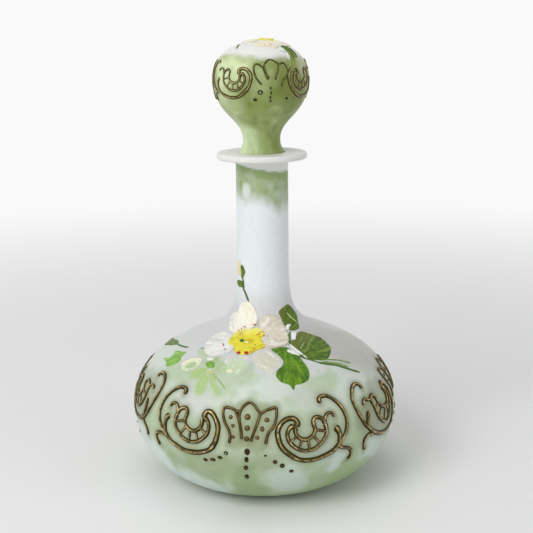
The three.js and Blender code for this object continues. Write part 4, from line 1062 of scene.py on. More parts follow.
# %% Dots of the band
PALMETTE_BEADS = [(-9.2, 15.6, 1.1, 1.1), (-7.6, 11.4, 1, 1), (-7.3, 5.6, 1, 0.9), (0, 16.2, 1.6, 1.6),
                  (0.1, 10.5, 1.5, 1.5), (-0.2, 5, 1.5, 1.4), (10.4, 14.8, 1.4, 1.3), (7.9, 10.2, 1.2, 1.4),
                  (5.3, 5.7, 1.2, 1.1)]
LOOSE_BEADS = [(0, -2, 1.3, 1.7), (-0.5, -6.5, 1, 1.5), (-1, -11.6, 1.1, 1.4), (-1, -17.8, 1.1, 1.6),
               (-14.8, -6.5, 1.2, 0.9), (-19, -8.4, 1.5, 0.9), (-23.3, -9.2, 1.2, 0.9),
               (9.4, -4.1, 0.6, 0.6), (14.4, -8, 1.1, 1.2), (18.2, -10.5, 1.2, 1.3),
               (23.3, -14.5, 1.1, 1)]
OPEN_BEADS = [(-11.3, -3.6, 1.2, 1.2)]
CROWDED_REPEAT, CROWDED_FROM = 1, -10
BEAD_HEIGHT, LOOSE_GROW = 0.55, 1.12
DOT_TAN = (116, 92, 54), (84, 68, 36), (80, 76, 42)
beads = Heap()
for i in range(BAND_REPEATS):
    here = BAND_ANGLE + i * 360 / BAND_REPEATS
    per_mm = math.degrees(1 / BOTTLE.girth)
    for x, y, rx, ry in PALMETTE_BEADS:
        bead(beads, BOTTLE, here + x * per_mm, y + PALMETTE_LIFTS[i], rx, ry, BEAD_HEIGHT, colours=DOT_TAN)
    for x, y, rx, ry in LOOSE_BEADS:
        if i != CROWDED_REPEAT or x > CROWDED_FROM:
            bead(beads, BOTTLE, here + x * per_mm, y, rx * LOOSE_GROW, ry * LOOSE_GROW, BEAD_HEIGHT)
    if i != CROWDED_REPEAT:
        for x, y, rx, ry in OPEN_BEADS:
            bead(beads, BOTTLE, here + x * per_mm, y, rx, ry, BEAD_HEIGHT, hollow=True)
beads.make("gilt_beads", gilt_paste, "bottle", "gilt_enamel")
print("bead patterns:", len(PALMETTE_BEADS), "+", len(LOOSE_BEADS), "+", len(OPEN_BEADS), "a repeat")

# %% [markdown]
# ## Thick enamel petals and leaves
# The flowers stand off the glass: the enamel is as thick as cream, rolls over at its edge, and keeps
# furrows from the brush, which was pulled in towards the heart. Each petal is an outline filled with
# rings that shrink towards its middle. The height follows the distance from the edge, for the rolled
# rim, and the brush noise round the heart, for the furrows. The same furrows tint the colour: on the
# petals as painted shade in the furrows and painted highlights on the ridges.

# %% Lay flat drawings on the glass
def flatten(places, middle, skin):
    """Places on the glass as flat millimetres round the middle of a patch."""
    places = np.array(places, float)
    return np.stack([np.radians(places[:, 0] - middle[0]) * skin.radius_at(places[:, 1]),
                     places[:, 1] - middle[1]], axis=1)


def lay_on(skin, middle):
    """Puts flat millimetres round a middle back on the glass."""
    def lay(flat, height):
        length = flat[:, 1] + middle[1]
        return skin.place(middle[0] + np.degrees(flat[:, 0] / skin.radius_at(length)), length, height)
    return lay


print("ten degrees of the belly, laid flat:", flatten([(10, 0)], (0, 0), BOTTLE).round(1).tolist()[0], "mm")

# %% Fill an outline with paste
UNDER_SHARES = [0.25, 0.5, 0.75]
RING_SHARES = [1, 1, 0.985, 0.965, 0.94, 0.91, 0.87, 0.82, 0.77, 0.71, 0.65, 0.58, 0.5, 0.42, 0.33, 0.23,
               0.12]
EDGE_ROLL, LIP_OF_PASTE, LIP_PLACE, LIP_WIDTH = 0.9, 0.3, 1.1, 0.6
UNDER_DEPTH, FOOT_DEPTH, FOOT_LIFT_SHARE = -0.3, -0.05, 0.6
BRISTLES, BRISTLE_DRAG, FURROW_SHARE, FLECK_SHARE, FLECK_SIZE = 14, 0.16, 0.65, 0.35, 1.3


def paste(heap, lay, outline, root, thickness, lift, furrow, seed, colour, spacing=0.5):
    """Adds one patch of thick enamel inside a flat outline round its own middle. root is where the
    brush strokes run to; colour paints it from its flat places, the share of the way to the rim, the
    brush furrows and the distance from the root. Its under side follows the glass, a little inside."""
    rim = through(outline, True, spacing)
    columns = len(rim)
    shares = np.array(UNDER_SHARES + RING_SHARES)
    flat = np.vstack([rim * share for share in shares] + [np.zeros((2, 2))])
    share = np.concatenate([np.repeat(shares, columns), [0, 0]])
    reach = np.linalg.norm(rim, axis=1)
    inward = (1 - share) * np.concatenate([np.tile(reach, len(shares)), [reach.mean()] * 2])
    roll = np.sqrt(np.clip(1 - (1 - np.clip(inward / EDGE_ROLL, 0, 1)) ** 2, 0, 1))
    roll = roll * (1 + LIP_OF_PASTE * np.exp(-((inward - LIP_PLACE) / LIP_WIDTH) ** 2))
    swing = np.arctan2(flat[:, 1] - root[1], flat[:, 0] - root[0])
    away = np.linalg.norm(flat - root, axis=1)
    furrows = np.stack([np.cos(swing) * BRISTLES, np.sin(swing) * BRISTLES, away * BRISTLE_DRAG + seed],
                       axis=1)
    flecks = cloud(flat + seed, FLECK_SIZE, seed + 5, 2)
    brush = FURROW_SHARE * cloud(furrows, 1, seed, 2) + FLECK_SHARE * flecks
    height = lift + thickness * roll * (1 + furrow * (brush - 0.5) * 2)
    first = len(UNDER_SHARES) * columns
    height[:first] = UNDER_DEPTH
    height[first:first + columns] = FOOT_DEPTH
    height[first + columns:first + 2 * columns] = lift * FOOT_LIFT_SHARE
    height[-2] = UNDER_DEPTH
    faces = grid_faces(len(shares), columns)
    under, top = len(flat) - 2, len(flat) - 1
    faces += [(under, (j + 1) % columns, j) for j in range(columns)]
    faces += [(under - columns + j, under - columns + (j + 1) % columns, top) for j in range(columns)]
    heap.add(lay(flat, height), faces, colour(flat, share, brush, away))


def paste_on(heap, skin, outline, middle, root, *rest):
    """The same, with the outline, its middle and the root given as places on the glass."""
    flat_root = flatten([root], middle, skin)[0]
    paste(heap, lay_on(skin, middle), flatten(outline, middle, skin), flat_root, *rest)


print("a patch of enamel has", len(UNDER_SHARES), "rings under it and", len(RING_SHARES), "over it")

# %% [markdown]
# ## Petals of the wild rose
# A petal is cream over white, with a greyer edge, painted shade in its furrows, painted highlights on the
# ridges between them and a touch of yellow near the heart. The two lower petals were laid thin, so the
# wash shows through them. The top petal was laid in two strokes, so it is two patches in one piece.

# %% Paint that thins out
def wash_at(skin, angle, length):
    """The colour of the wash under a patch."""
    if skin is STOPPER:
        return wash_stopper(angle, length)
    return wash_bottle(angle, length, np.interp(length, BOTTLE.length, BOTTLE.height))


def fading(paint, middle, fade, strength=1.0, skin=BOTTLE):
    """The same paint, thinning towards the rim until the wash shows."""
    def thin(flat, share, brush, away):
        length = flat[:, 1] + middle[1]
        wash = wash_at(skin, middle[0] + np.degrees(flat[:, 0] / skin.radius_at(length)), length)
        cover = ramp(1 - share + 0.5 * (brush - 0.5), 0, fade) * strength
        return wash + (paint(flat, share, brush, away) - wash) * cover[:, None]
    return thin


front = wash_at(BOTTLE, np.array([0.0]), np.array([30.0]))[0]
print("the wash in front, 30 mm above the widest circle, as light:", front.round(2).tolist())

# %% Paint of a petal
# Painted light and shade on the petals: the shade colour darkens the furrows and the rim, and the pale
# colour is a painted highlight on the ridges between the furrows.
PETAL_CREAM = (238, 236, 222)
PETAL_WHITE_AND_HIGHLIGHT = (247, 246, 240)
PETAL_SHADE = (206, 208, 212)
HEART_TINT, HEART_GLOW, GLOW_FADE, GLOW_AMOUNT = (226, 222, 150), 9.5, 3.5, 0.45
TIP_START, TIP_END, FURROW_SHADE, RIDGE_HIGHLIGHT, RIM_SHADE = 8, 18, 0.65, 0.75, 0.6


def petal_colour(base, tip, tip_amount, edge=PETAL_SHADE):
    """Paint for a petal: base colour, the tint of its tip, how much of it, and the edge colour, which is
    also the painted shade in its furrows; its ridges get a painted highlight.
    """
    def paint(flat, share, brush, away):
        colour = np.tile(linear(base), (len(share), 1))
        colour = blend(colour, tip, ramp(away, TIP_START, TIP_END) * tip_amount)
        # Painted shade in the furrows, then a painted highlight on the ridges.
        colour = blend(colour, edge, ramp(0.5 - brush, 0, 0.2) * FURROW_SHADE)
        colour = blend(colour, PETAL_WHITE_AND_HIGHLIGHT, ramp(brush, 0.56, 0.68) * RIDGE_HIGHLIGHT)
        colour = blend(colour, edge, ramp(share, 0.9, 1) * RIM_SHADE)
        return blend(colour, HEART_TINT, ramp(HEART_GLOW - away, 0, GLOW_FADE) * GLOW_AMOUNT)
    return paint


print("petal cream, as light:", linear(PETAL_CREAM).round(2).tolist())

# %% Petals
ROSE_ROOT = (-17, 65.5)
PETALS = [
    ("petal_low_left", (-18, 46.5), 0.0, 0.16, ((214, 228, 196), (200, 220, 172), 0.9, (200, 216, 184)),
     [(-22, 55), (-28, 51.5), (-29, 46), (-26, 41), (-20, 38.5), (-14, 39), (-9.5, 42.5), (-8, 47.5),
      (-9, 54), (-15, 56)]),
    ("petal_low_right", (2, 50), 0.0, 0.16, ((218, 212, 194), (208, 212, 188), 0.7, (206, 202, 184)),
     [(-7, 59), (1, 61), (5, 60), (8.5, 56), (11.5, 51), (12, 47.5), (8.5, 43.5), (3.5, 40.5), (-1, 41),
      (-4.5, 44.5), (-6.5, 49), (-9, 54.5)]),
    ("petal_left", (-43, 60), 0.1, 0.5, ((226, 228, 226), (228, 224, 212), 0.5, (198, 200, 202)),
     [(-37, 70), (-46, 70), (-53, 69.5), (-58, 66), (-58, 64), (-56, 61), (-54, 57), (-49, 53.5),
      (-44, 50.5), (-38, 49.5), (-32, 51.5), (-27, 54.5), (-25, 58), (-26, 62), (-33, 66)]),
    ("petal_top", (-50, 77), 0.1, 0.5, (PETAL_CREAM, (238, 234, 220), 0.5, PETAL_SHADE),
     [(-34, 71), (-44, 71), (-52, 74.5), (-60, 77.5), (-66, 80), (-64, 82.5), (-56, 84), (-46, 86),
      (-36, 82), (-31, 76)]),
    ("petal_top", (-30, 82.5), 0.35, 0.5, ((244, 242, 230), (246, 240, 216), 0.7, (222, 220, 206)),
     [(-30, 72.5), (-37, 75), (-44, 78), (-50, 84), (-50, 88.5), (-42, 91), (-28, 91), (-18, 88.5),
      (-12, 85), (-9, 82), (-11, 78.5), (-16, 75.5), (-23, 73)]),
    ("petal_right", (13, 72), 0.25, 0.55, ((218, 214, 202), (222, 212, 190), 0.7, (192, 184, 166)),
     [(-9, 79.5), (-5, 81.5), (0, 83.5), (7, 84.5), (16, 84), (25, 82.5), (29, 80), (30, 75), (28.5, 70),
      (25, 65), (20, 62), (12, 60.5), (4, 60), (0, 63), (-3, 68), (-6, 74)]),
]
FADED_PETALS = {"petal_low_left": (0.7, 0.7), "petal_low_right": (0.4, 0.95)}
PETAL_FURROW = 0.95
petal_heaps = {}
for i, (name, middle, lift, thickness, paints, outline) in enumerate(PETALS):
    heap = petal_heaps.setdefault(name, Heap())
    paint = petal_colour(*paints)
    if name in FADED_PETALS:
        paint = fading(paint, middle, *FADED_PETALS[name])
    paste_on(heap, BOTTLE, outline, middle, ROSE_ROOT, thickness, lift, PETAL_FURROW, 400 + i, paint)
for name, heap in petal_heaps.items():
    heap.make("enamel_" + name, thick_enamel, "bottle", "cream_enamel", [name])
print("petals:", ", ".join(petal_heaps))

# %% [markdown]
# ## Heart and stamens
# The heart is one ragged dab of yellow, stippled while wet, with a green point and a painted highlight
# of white in its middle. Thin red-brown strokes stand round it for the stamens.

# %% Heart of the rose
YELLOW, OCHRE, LIGHT_YELLOW = (230, 220, 58), (206, 184, 36), (240, 236, 130)
STIPPLE_SIZE, SLANT, LIT_START, LIT_END, LIT_AMOUNT, FURROW_LIGHT = 3, 0.35, 3, 9, 0.8, 0.4


def heart_colour(flat, share, brush, away):
    """Paint of a rose heart: yellow stippled with ochre, and painted light that makes its upper left
    lighter.
    """
    stipple = cloud(flat, STIPPLE_SIZE, 61)
    colour = blend(np.tile(linear(YELLOW), (len(share), 1)), OCHRE, ramp(stipple, 0.45, 0.8))
    # Painted light: lighter towards the upper left, where the lamp is.
    upper_left = flat[:, 1] - SLANT * flat[:, 0]
    colour = blend(colour, LIGHT_YELLOW, ramp(upper_left, LIT_START, LIT_END) * LIT_AMOUNT)
    return blend(colour, LIGHT_YELLOW, ramp(0.42 - brush, 0, 0.25) * FURROW_LIGHT)


ROSE_HEART = [(-36, 70), (-36, 65.5), (-34, 62.5), (-30, 61), (-26.5, 60.5), (-24, 57.5), (-20.5, 55.5),
              (-17, 54.5), (-12.5, 55), (-9, 56.5), (-5.5, 58.5), (-2, 60), (1.5, 62.5), (-1.5, 65.5),
              (-2, 68.5), (1.5, 72), (-1.5, 74.5), (-6, 76), (-11, 76), (-18, 75), (-26, 75), (-32, 73.5)]
HEART_THICKNESS, HEART_LIFT, HEART_FURROW, HEART_STEP = 0.45, 0.45, 0.7, 0.45
heart = Heap()
paste_on(heart, BOTTLE, ROSE_HEART, ROSE_ROOT, ROSE_ROOT, HEART_THICKNESS, HEART_LIFT, HEART_FURROW, 431,
         heart_colour, HEART_STEP)
heart.make("enamel_rose_heart", thick_enamel, "bottle", "yellow_enamel", ["rose_heart"])
print("the heart is drawn through", len(ROSE_HEART), "points")

# %% Stamens
STAMEN_RED, STAMEN_BROWN = (172, 28, 12), (172, 84, 40)
PISTIL_GREEN, PISTIL_HIGHLIGHT, POLLEN_OLIVE = (60, 104, 10), (246, 246, 226), (120, 112, 20)
STAMEN_HEIGHT, STAMEN_LIFT, STAMEN_BLOB, STAMEN_STEP = 0.28, 0.82, 0.3, 0.35
STAMENS = [
    (STAMEN_BROWN, 0.3, [(-34, 73.5), (-30, 72), (-26, 69.8)]),
    (STAMEN_BROWN, 0.3, [(-30.5, 75), (-28, 73), (-25.5, 71)]),
    (STAMEN_RED, 0.42, [(-28.5, 76.2), (-25, 75.6)]),
    (STAMEN_BROWN, 0.28, [(-25.5, 75), (-23.5, 72.5)]),
    (STAMEN_RED, 0.45, [(-17, 78), (-14, 78.1), (-11.5, 77.8)]),
    (STAMEN_BROWN, 0.25, [(-32, 71), (-27, 69)]),
    (STAMEN_BROWN, 0.3, [(-6, 72.5), (-3, 73), (0, 73.3)]),
    (STAMEN_BROWN, 0.25, [(-9, 70.5), (-4, 71.8)]),
    (STAMEN_BROWN, 0.3, [(-5, 69), (-2, 70), (1, 70.6)]),
    (STAMEN_BROWN, 0.25, [(-4, 75.8), (0, 77.5)]),
    (STAMEN_RED, 0.28, [(-37.5, 60.8), (-36, 59.6), (-34.5, 59)]),
    (STAMEN_RED, 0.4, [(-32, 57), (-31, 56.3)]),
    (STAMEN_RED, 0.85, [(-20.6, 55.9), (-17.4, 55.2)]),
    (STAMEN_RED, 1.0, [(-15, 55.4), (-11.4, 56.3)]),
    (STAMEN_RED, 0.55, [(-11, 56.7), (-10, 57.2)]),
    (STAMEN_BROWN, 0.5, [(4, 70), (5, 70.2)]),
    (PISTIL_GREEN, 1.4, [(-23.6, 66.8), (-21.5, 65.4), (-19.6, 64.2)]),
    # A painted highlight: a short white stroke on the heart.
    (PISTIL_HIGHLIGHT, 1.1, [(-18, 64.8), (-14.6, 64.2)]),
    (POLLEN_OLIVE, 0.5, [(-8.5, 62.9), (-7.4, 62.4)]),
]
stamens = Heap()
painted_lines(stamens, BOTTLE, STAMENS, STAMEN_HEIGHT, 450, STAMEN_LIFT, STAMEN_BLOB, STAMEN_STEP)
stamens.make("enamel_stamens", thick_enamel, "bottle", "yellow_enamel")
print("stamens and marks:", len(STAMENS))

# %% [markdown]
# ## Leaves, stems and bud
# Leaves are laid in one or two strokes of a loaded brush, so they are thinner than the petals, with
# light and dark streaks from base to tip and brown where two colours met. Stems are single trails.

# %% Paint of a leaf
LEAF_GREEN, LEAF_DARK, LEAF_LIGHT, LEAF_BROWN = (84, 116, 10), (54, 86, 0), (132, 156, 60), (102, 108, 42)
DARK_STREAK, LIGHT_STREAK = 0.9, 0.65
BROWN_WANDER, BROWN_SIZE, BROWN_STREAK, BROWN_START, BROWN_END = 5, 4, 8, -1, 8


def leaf_colour(base, dark, light, brown=0.0, toward=(0, 1)):
    """Paint for a leaf: its three greens, and how much brown comes in on which side."""
    side = np.array(toward, float) / np.hypot(*toward)

    def paint(flat, share, brush, away):
        colour = np.tile(linear(base), (len(share), 1))
        colour = blend(colour, dark, ramp(brush, 0.45, 0.62) * DARK_STREAK)
        colour = blend(colour, light, ramp(0.46 - brush, 0, 0.16) * LIGHT_STREAK)
        where = flat @ side + BROWN_WANDER * (cloud(flat, BROWN_SIZE, 71) - 0.5)
        where = where + BROWN_STREAK * (brush - 0.5)
        return blend(colour, LEAF_BROWN, ramp(where, BROWN_START, BROWN_END) * brown)
    return paint


FRESH = (LEAF_GREEN, LEAF_DARK, LEAF_LIGHT)
SPRING = ((140, 186, 84), (112, 164, 56), (166, 206, 118))
GRASS = ((90, 134, 10), (60, 100, 0), (124, 162, 44))
YOUNG = ((124, 170, 66), (92, 142, 34), (156, 192, 100))
print("a fresh leaf, as light:", linear(LEAF_GREEN).round(3).tolist())

# %% Leaves
LEAVES = [
    ("leaf_upper_right", (49, 80), (32, 73), 0.3, FRESH + (0.8, (-1, 0.6)),
     [(28.5, 85), (33, 86.3), (42, 87.5), (52, 88.3), (61, 87.3), (68, 84.5), (71, 81.5), (66, 79),
      (58, 76.3), (51, 73), (42, 72.3), (34, 73.2), (38, 75), (32, 75.5), (31, 79), (30, 82)]),
    ("leaf_middle_right", (43, 58), (26, 52), 0.35, FRESH + (0.75, (-0.4, 1)),
     [(25, 63), (28, 65.2), (33, 66), (37, 68), (42, 70), (48, 70.3), (54, 67.5), (58, 63.5),
      (60, 60.5), (58, 56), (55, 51.5), (50, 48.7), (45, 46.2), (40, 45.2), (34, 47), (29, 49.5),
      (26, 52), (25.5, 57)]),
    ("leaf_lower_right", (18, 46), (18, 60), 0.35, GRASS,
     [(6, 59.3), (10, 60.3), (15, 60.8), (20, 60), (22.3, 57.5), (24, 53.5), (25.3, 49), (26, 43),
      (25, 38), (22.5, 34.5), (18.5, 33), (15.5, 32.6), (14, 30), (12.5, 33), (8.5, 35.5), (6.5, 39),
      (7.5, 43), (10.5, 45.5), (12.6, 48.5), (12, 52), (9.5, 56)]),
    ("leaf_far_left", (-92, 41.5), (-81, 46.5), 0.25, FRESH + (0.3, (-1, 0)),
     [(-106, 36), (-108, 38.5), (-102, 41), (-96, 43.5), (-89, 46.3), (-82, 47), (-81, 45.5), (-87, 41.8),
      (-93, 38.5), (-100, 35)]),
    ("leaf_near_left", (-65, 40), (-60, 46), 0.25, SPRING,
     [(-64, 33.5), (-68, 35.2), (-73, 35.5), (-69, 38), (-69, 41), (-71.5, 43.5), (-68, 45.2),
      (-64.5, 45.5), (-61, 46.8), (-60, 43), (-57.5, 40.5), (-58.5, 37), (-61, 34.5)]),
    ("leaf_small_left", (-34.3, 44.2), (-31, 43), 0.25, YOUNG,
     [(-38, 44.8), (-36, 46.4), (-33, 46.6), (-31, 44), (-30.8, 42.6), (-34, 41.9), (-36.5, 43.2)]),
    ("bud_leaf", (-52, 107), (-46, 104), 0.25, FRESH,
     [(-56, 103.5), (-50, 103.8), (-45, 106), (-43.5, 108), (-48, 110), (-54, 111.3), (-59, 110),
      (-57, 106.5)]),
    ("leaf_under_bud", (-65, 100), (-52, 100), 0.25, FRESH,
     [(-51, 98.5), (-58, 98.2), (-66, 98), (-75, 98.8), (-83, 100), (-75, 101.3), (-66, 102),
      (-58, 102), (-51, 101.3)]),
]
LAID_LOW, LEAF_FURROW, PATCH_STEP = 0.05, 0.8, 0.4
for i, (name, middle, root, thickness, paints, outline) in enumerate(LEAVES):
    heap = Heap()
    paste_on(heap, BOTTLE, outline, middle, root, thickness, LAID_LOW, LEAF_FURROW, 500 + i,
             leaf_colour(*paints), PATCH_STEP)
    heap.make("enamel_" + name, thick_enamel, "bottle", "leaf_enamel", [name])
print("leaves:", len(LEAVES))

# %% Bud
BUD_CREAM = ((232, 222, 180), (238, 226, 196), 0.5, (206, 200, 160))
BUD_OUTLINE = [(-60, 105), (-59, 109), (-61, 112.5), (-69, 113), (-76, 111), (-76, 107), (-69, 104.8)]
BUD_MIDDLE, BUD_ROOT, BUD_THICKNESS, BUD_FURROW = (-67, 109), (-60, 103), 0.4, 0.6
bud = Heap()
paste_on(bud, BOTTLE, BUD_OUTLINE, BUD_MIDDLE, BUD_ROOT, BUD_THICKNESS, LAID_LOW, BUD_FURROW, 521,
         petal_colour(*BUD_CREAM), PATCH_STEP)
bud.make("enamel_bud", thick_enamel, "bottle", "cream_enamel", ["bud"])
print("the bud is", BUD_THICKNESS, "mm thick")

# %% Stems
STEM_GREEN, STEM_DARK = (84, 124, 44), (58, 88, 34)
STEM_PAINT = (STEM_GREEN, STEM_GREEN, STEM_DARK)
STEMS = {
    "stem_right": (0.65, [[(34, 72.3), (30.5, 70), (28, 67.5), (26, 65), (24.5, 62.6), (22, 61.3)],
                          [(21, 58.6), (23, 55.5), (24.3, 52.8), (27, 50.5), (31, 48), (35, 45)],
                          [(26.5, 64), (26, 60), (26, 56), (26.5, 52)]]),
    "stem_left": (0.6, [[(-81, 46), (-75, 47.4), (-70, 48.5), (-65, 49.9)],
                        [(-53.5, 53.2), (-50.5, 53.9)]]),
    "stem_bud": (0.75, [[(-31, 91), (-36, 93.3), (-41, 95.4), (-47, 97.3), (-52, 99)],
                        [(-46, 97), (-48, 99.5), (-50, 102), (-52, 104.5)]]),
    "leaf_long_right": (0.85, [[(34, 45.3), (40, 42.2), (45, 39.8), (49, 36.5), (53, 33), (56.5, 30.3)]]),
}
STEM_STEP, STEM_HEIGHT, STEM_BLOB = 0.5, 0.35, -0.35
for i, (name, (half_width, paths)) in enumerate(STEMS.items()):
    heap = Heap()
    for k, path in enumerate(paths):
        trail(heap, BOTTLE, through(path, False, STEM_STEP), half_width, STEM_HEIGHT, 540 + 10 * i + k,
              blob=STEM_BLOB, colours=STEM_PAINT)
    heap.make("enamel_" + name, thick_enamel, "bottle", "leaf_enamel", [name])
print("stems and the long leaf:", ", ".join(STEMS))

# %% [markdown]
# ## The faded strokes
# Below the flower on the left are leaves and a bud that were laid first with almost no colour on the
# brush. They hardly stand off the glass, and the wash shows through them. They are thin patches whose
# paint fades into the colour of the wash under them. Thin white touches sit between the right leaves,
# and fine strokes of a nearly dry brush give the leaves their veins and lit edges.

# %% Faded leaves, bud and white touches
FADED_GREEN, FADED_DEEP = (168, 196, 124), (150, 186, 100)
FADED_CREAM, TOUCH_WHITE = (228, 228, 200), (236, 240, 238)
FADED = [
    (FADED_GREEN, 0.9, (-38, 37.5),
     [(-43, 34.5), (-42, 38), (-38.5, 41), (-36, 42.5), (-33, 41), (-32, 37), (-34.5, 34.5), (-38, 33),
      (-41, 33)]),
    (FADED_GREEN, 0.85, (-32, 30.5),
     [(-35, 38), (-30, 38), (-29, 32), (-28.5, 27), (-30, 23.5), (-32.8, 23.7), (-35, 27),
      (-35.5, 32)]),
    (FADED_GREEN, 0.75, (-25.5, 32),
     [(-31, 38.5), (-28, 38.3), (-25, 34), (-22, 30.5), (-20, 27.5), (-20.3, 25.6), (-23, 26.5),
      (-26, 30), (-29, 34)]),
    (FADED_DEEP, 0.7, (-32.5, 48.2), [(-34.5, 50.5), (-31.5, 50), (-30.5, 47.6), (-32, 46.2), (-34, 46.8)]),
    (FADED_GREEN, 0.55, (-27, 44),
     [(-31, 46.5), (-27, 48), (-23, 46), (-22, 42), (-25, 39.5), (-29, 40.5)]),
    (FADED_GREEN, 0.55, (-47, 50.5),
     [(-53, 52), (-47, 52.6), (-41, 52), (-40, 49.5), (-46, 48.5), (-52, 49.5)]),
    (FADED_CREAM, 0.9, (-47, 41.5),
     [(-53.5, 38.5), (-53, 42.5), (-49.5, 45.3), (-44, 46.5), (-40.5, 45), (-40, 41.5), (-42.5, 38),
      (-46, 36.2), (-50.5, 36.2)]),
    (FADED_GREEN, 0.5, (-46.5, 40.5),
     [(-49.5, 38), (-49, 41.5), (-46, 43.5), (-43, 42.6), (-42.5, 39.5), (-45.5, 37.6)]),
    (TOUCH_WHITE, 0.8, (-37, 47.8), [(-40, 47.2), (-39, 49), (-35.5, 49.2), (-34.3, 47.4), (-37, 46.4)]),
    (FADED_CREAM, 0.95, (-20, 41.8),
     [(-22.3, 41.2), (-21, 43.3), (-18.6, 43.2), (-17.4, 41.4), (-19.5, 40.2)]),
]
TOUCHES = [
    ((21, 55.5), [(18, 56.6), (19.6, 58), (22.4, 57), (25, 54), (25.6, 51.8), (23, 53), (20.6, 54)]),
    ((25.6, 57),
     [(22.8, 61.2), (24, 57.6), (26, 53.4), (29.6, 49), (28.6, 52.4), (26.4, 57.4), (24.2, 61.8)]),
    ((33.5, 68), [(29.8, 67), (31, 64.8), (34.2, 66.4), (38.6, 69.4), (38.8, 71), (33.6, 70.6)]),
    ((34.5, 75),
     [(29.4, 73.8), (32.4, 73.4), (36.2, 75), (40.6, 75.8), (38.8, 77), (34.4, 76.8), (31, 75.6)]),
]
FADED_THICKNESS, FADED_LAYER, FADED_FURROW, FADED_EDGE, LIGHTER = 0.1, 0.02, 0.4, 0.3, 12
# The white touches get the same painted shade in their furrows and at their rim.
TOUCH_THICKNESS, TOUCH_LIFT, TOUCH_FURROW, TOUCH_SHADE = 0.14, 0.42, 0.9, (200, 210, 196)
faded = Heap()
for i, (tint, strength, middle, outline) in enumerate(FADED):
    light = tuple(min(c + LIGHTER, 255) for c in tint)
    paint = fading(leaf_colour(tint, tint, light), middle, FADED_EDGE, strength)
    paste_on(faded, BOTTLE, outline, middle, middle, FADED_THICKNESS, FADED_LAYER * (i + 1), FADED_FURROW,
             560 + i, paint, PATCH_STEP)
for i, (middle, outline) in enumerate(TOUCHES):
    paste_on(faded, BOTTLE, outline, middle, ROSE_ROOT, TOUCH_THICKNESS, TOUCH_LIFT, TOUCH_FURROW, 580 + i,
             petal_colour(TOUCH_WHITE, PETAL_WHITE_AND_HIGHLIGHT, 0.5, TOUCH_SHADE), PATCH_STEP)
faded.make("enamel_faded_strokes", thick_enamel, "bottle", "leaf_enamel")
print("faded strokes:", len(FADED), "- white touches:", len(TOUCHES))

# %% Fine strokes
FINE_HEIGHT, FINE_LIFT, FINE_BLOB, FINE_STEP = 0.3, 0.3, -0.3, 0.4
FINE_STROKES = [
    ((166, 196, 110), 0.32, [(-29, 38.5), (-25, 36), (-22, 33.5), (-19, 30.5)]),
    ((226, 214, 120), 0.45, [(-33.5, 39.9), (-31, 39.2), (-28, 38.8)]),
    ((240, 240, 226), 0.4, [(-33, 40.8), (-30.5, 40.3)]),
    ((232, 226, 170), 0.4, [(-22, 42), (-20, 42.8), (-18, 42.4)]),
    ((238, 236, 214), 0.5, [(-53, 38.2), (-52.6, 41.4), (-49.4, 44.2), (-44.4, 46), (-41, 44.8)]),
    ((238, 236, 214), 0.4, [(-52, 37.4), (-48, 36.3), (-44, 36.6)]),
    ((118, 158, 66), 0.3, [(36, 47.4), (40, 45.6), (44, 44.4), (50, 41.8), (55.5, 37.5)]),
    ((140, 176, 92), 0.5, [(38, 44.6), (43, 42.4), (47.5, 40), (51.5, 36.2)]),
    ((190, 206, 150), 0.4, [(45, 84), (51, 80), (55, 77)]),
    ((150, 178, 96), 0.35, [(30, 54), (37, 57.5), (44, 61), (50, 62.5)]),
    ((150, 170, 96), 0.3, [(32, 61.5), (37, 63.5), (41, 66)]),
    ((206, 216, 176), 0.35, [(29, 56.6), (34, 59.6), (38, 61.2)]),
    ((60, 104, 14), 0.5, [(11, 44.4), (10.6, 42), (12, 40.4)]),
]
fine = Heap()
painted_lines(fine, BOTTLE, FINE_STROKES, FINE_HEIGHT, 590, FINE_LIFT, FINE_BLOB, FINE_STEP)
fine.make("enamel_fine_strokes", thick_enamel, "bottle", "leaf_enamel")
print("fine strokes:", len(FINE_STROKES))

# %% [markdown]
# ## The stopper's ornament
# The ball carries the same band at two thirds of the size, in thinner and darker lines. Its scrolls
# take the pattern of the bottle's with a flourish of their own, and its palmette is drawn afresh, since
# the decorator simplified it for the small ball.

# %% Band on the stopper
STOPPER_REPEATS, STOPPER_ANGLE, STOPPER_SCALE, STOPPER_LIFT = 2, 11.5, 0.65, -4.2
OLIVE_LINE = (166, 162, 108), (112, 102, 54), (58, 50, 18)
DARK_LINE = (122, 116, 66), (82, 80, 38), (54, 56, 22)
STOPPER_LINE_SHARE = 0.66
STOPPER_PALMETTE = [
    [(-7.2, 3.2), (-10.5, 7.2), (-13, 12), (-13.8, 16.6), (-12.6, 19.8), (-9.6, 19.6), (-6, 16.5),
     (-4.1, 11.8), (-2, 7)],
    [(-5, 19.6), (-2.4, 22.6), (0.9, 24.2)],
    [(0.9, 24.2), (4.4, 22.4), (7.9, 19.4)],
    [(-4.8, 20), (-4.9, 16.5), (-3.6, 12), (-0.8, 8)],
    [(7.6, 19.6), (6.6, 15.1), (4.8, 10.8), (3.7, 7)],
    [(8.3, 19.4), (10.8, 20.6), (13.4, 20), (15.2, 16.4), (15, 12), (12.2, 8.2), (9.9, 5.2), (9.7, 1.2)],
]
STOPPER_FLOURISH = [(52.2, 19.8), (53, 22), (55.4, 22.4), (58, 20), (59.6, 15), (60.4, 8.6), (58.6, 2.5),
                    (54, -2), (48.5, -3)]
STOPPER_SCROLL = {**SCROLL_LINES, "flourish": STOPPER_FLOURISH}
STOPPER_BEADS = [(-5.5, -6, 1.4, 1.3), (-8.5, -10, 1.1, 0.9), (10, -9.7, 0.8, 0.8), (0, -3.8, 0.5, 0.8),
                 (0.3, -6.3, 0.4, 1.0), (0, -8.8, 0.45, 1.0), (0.2, -10.8, 0.6, 0.6)]
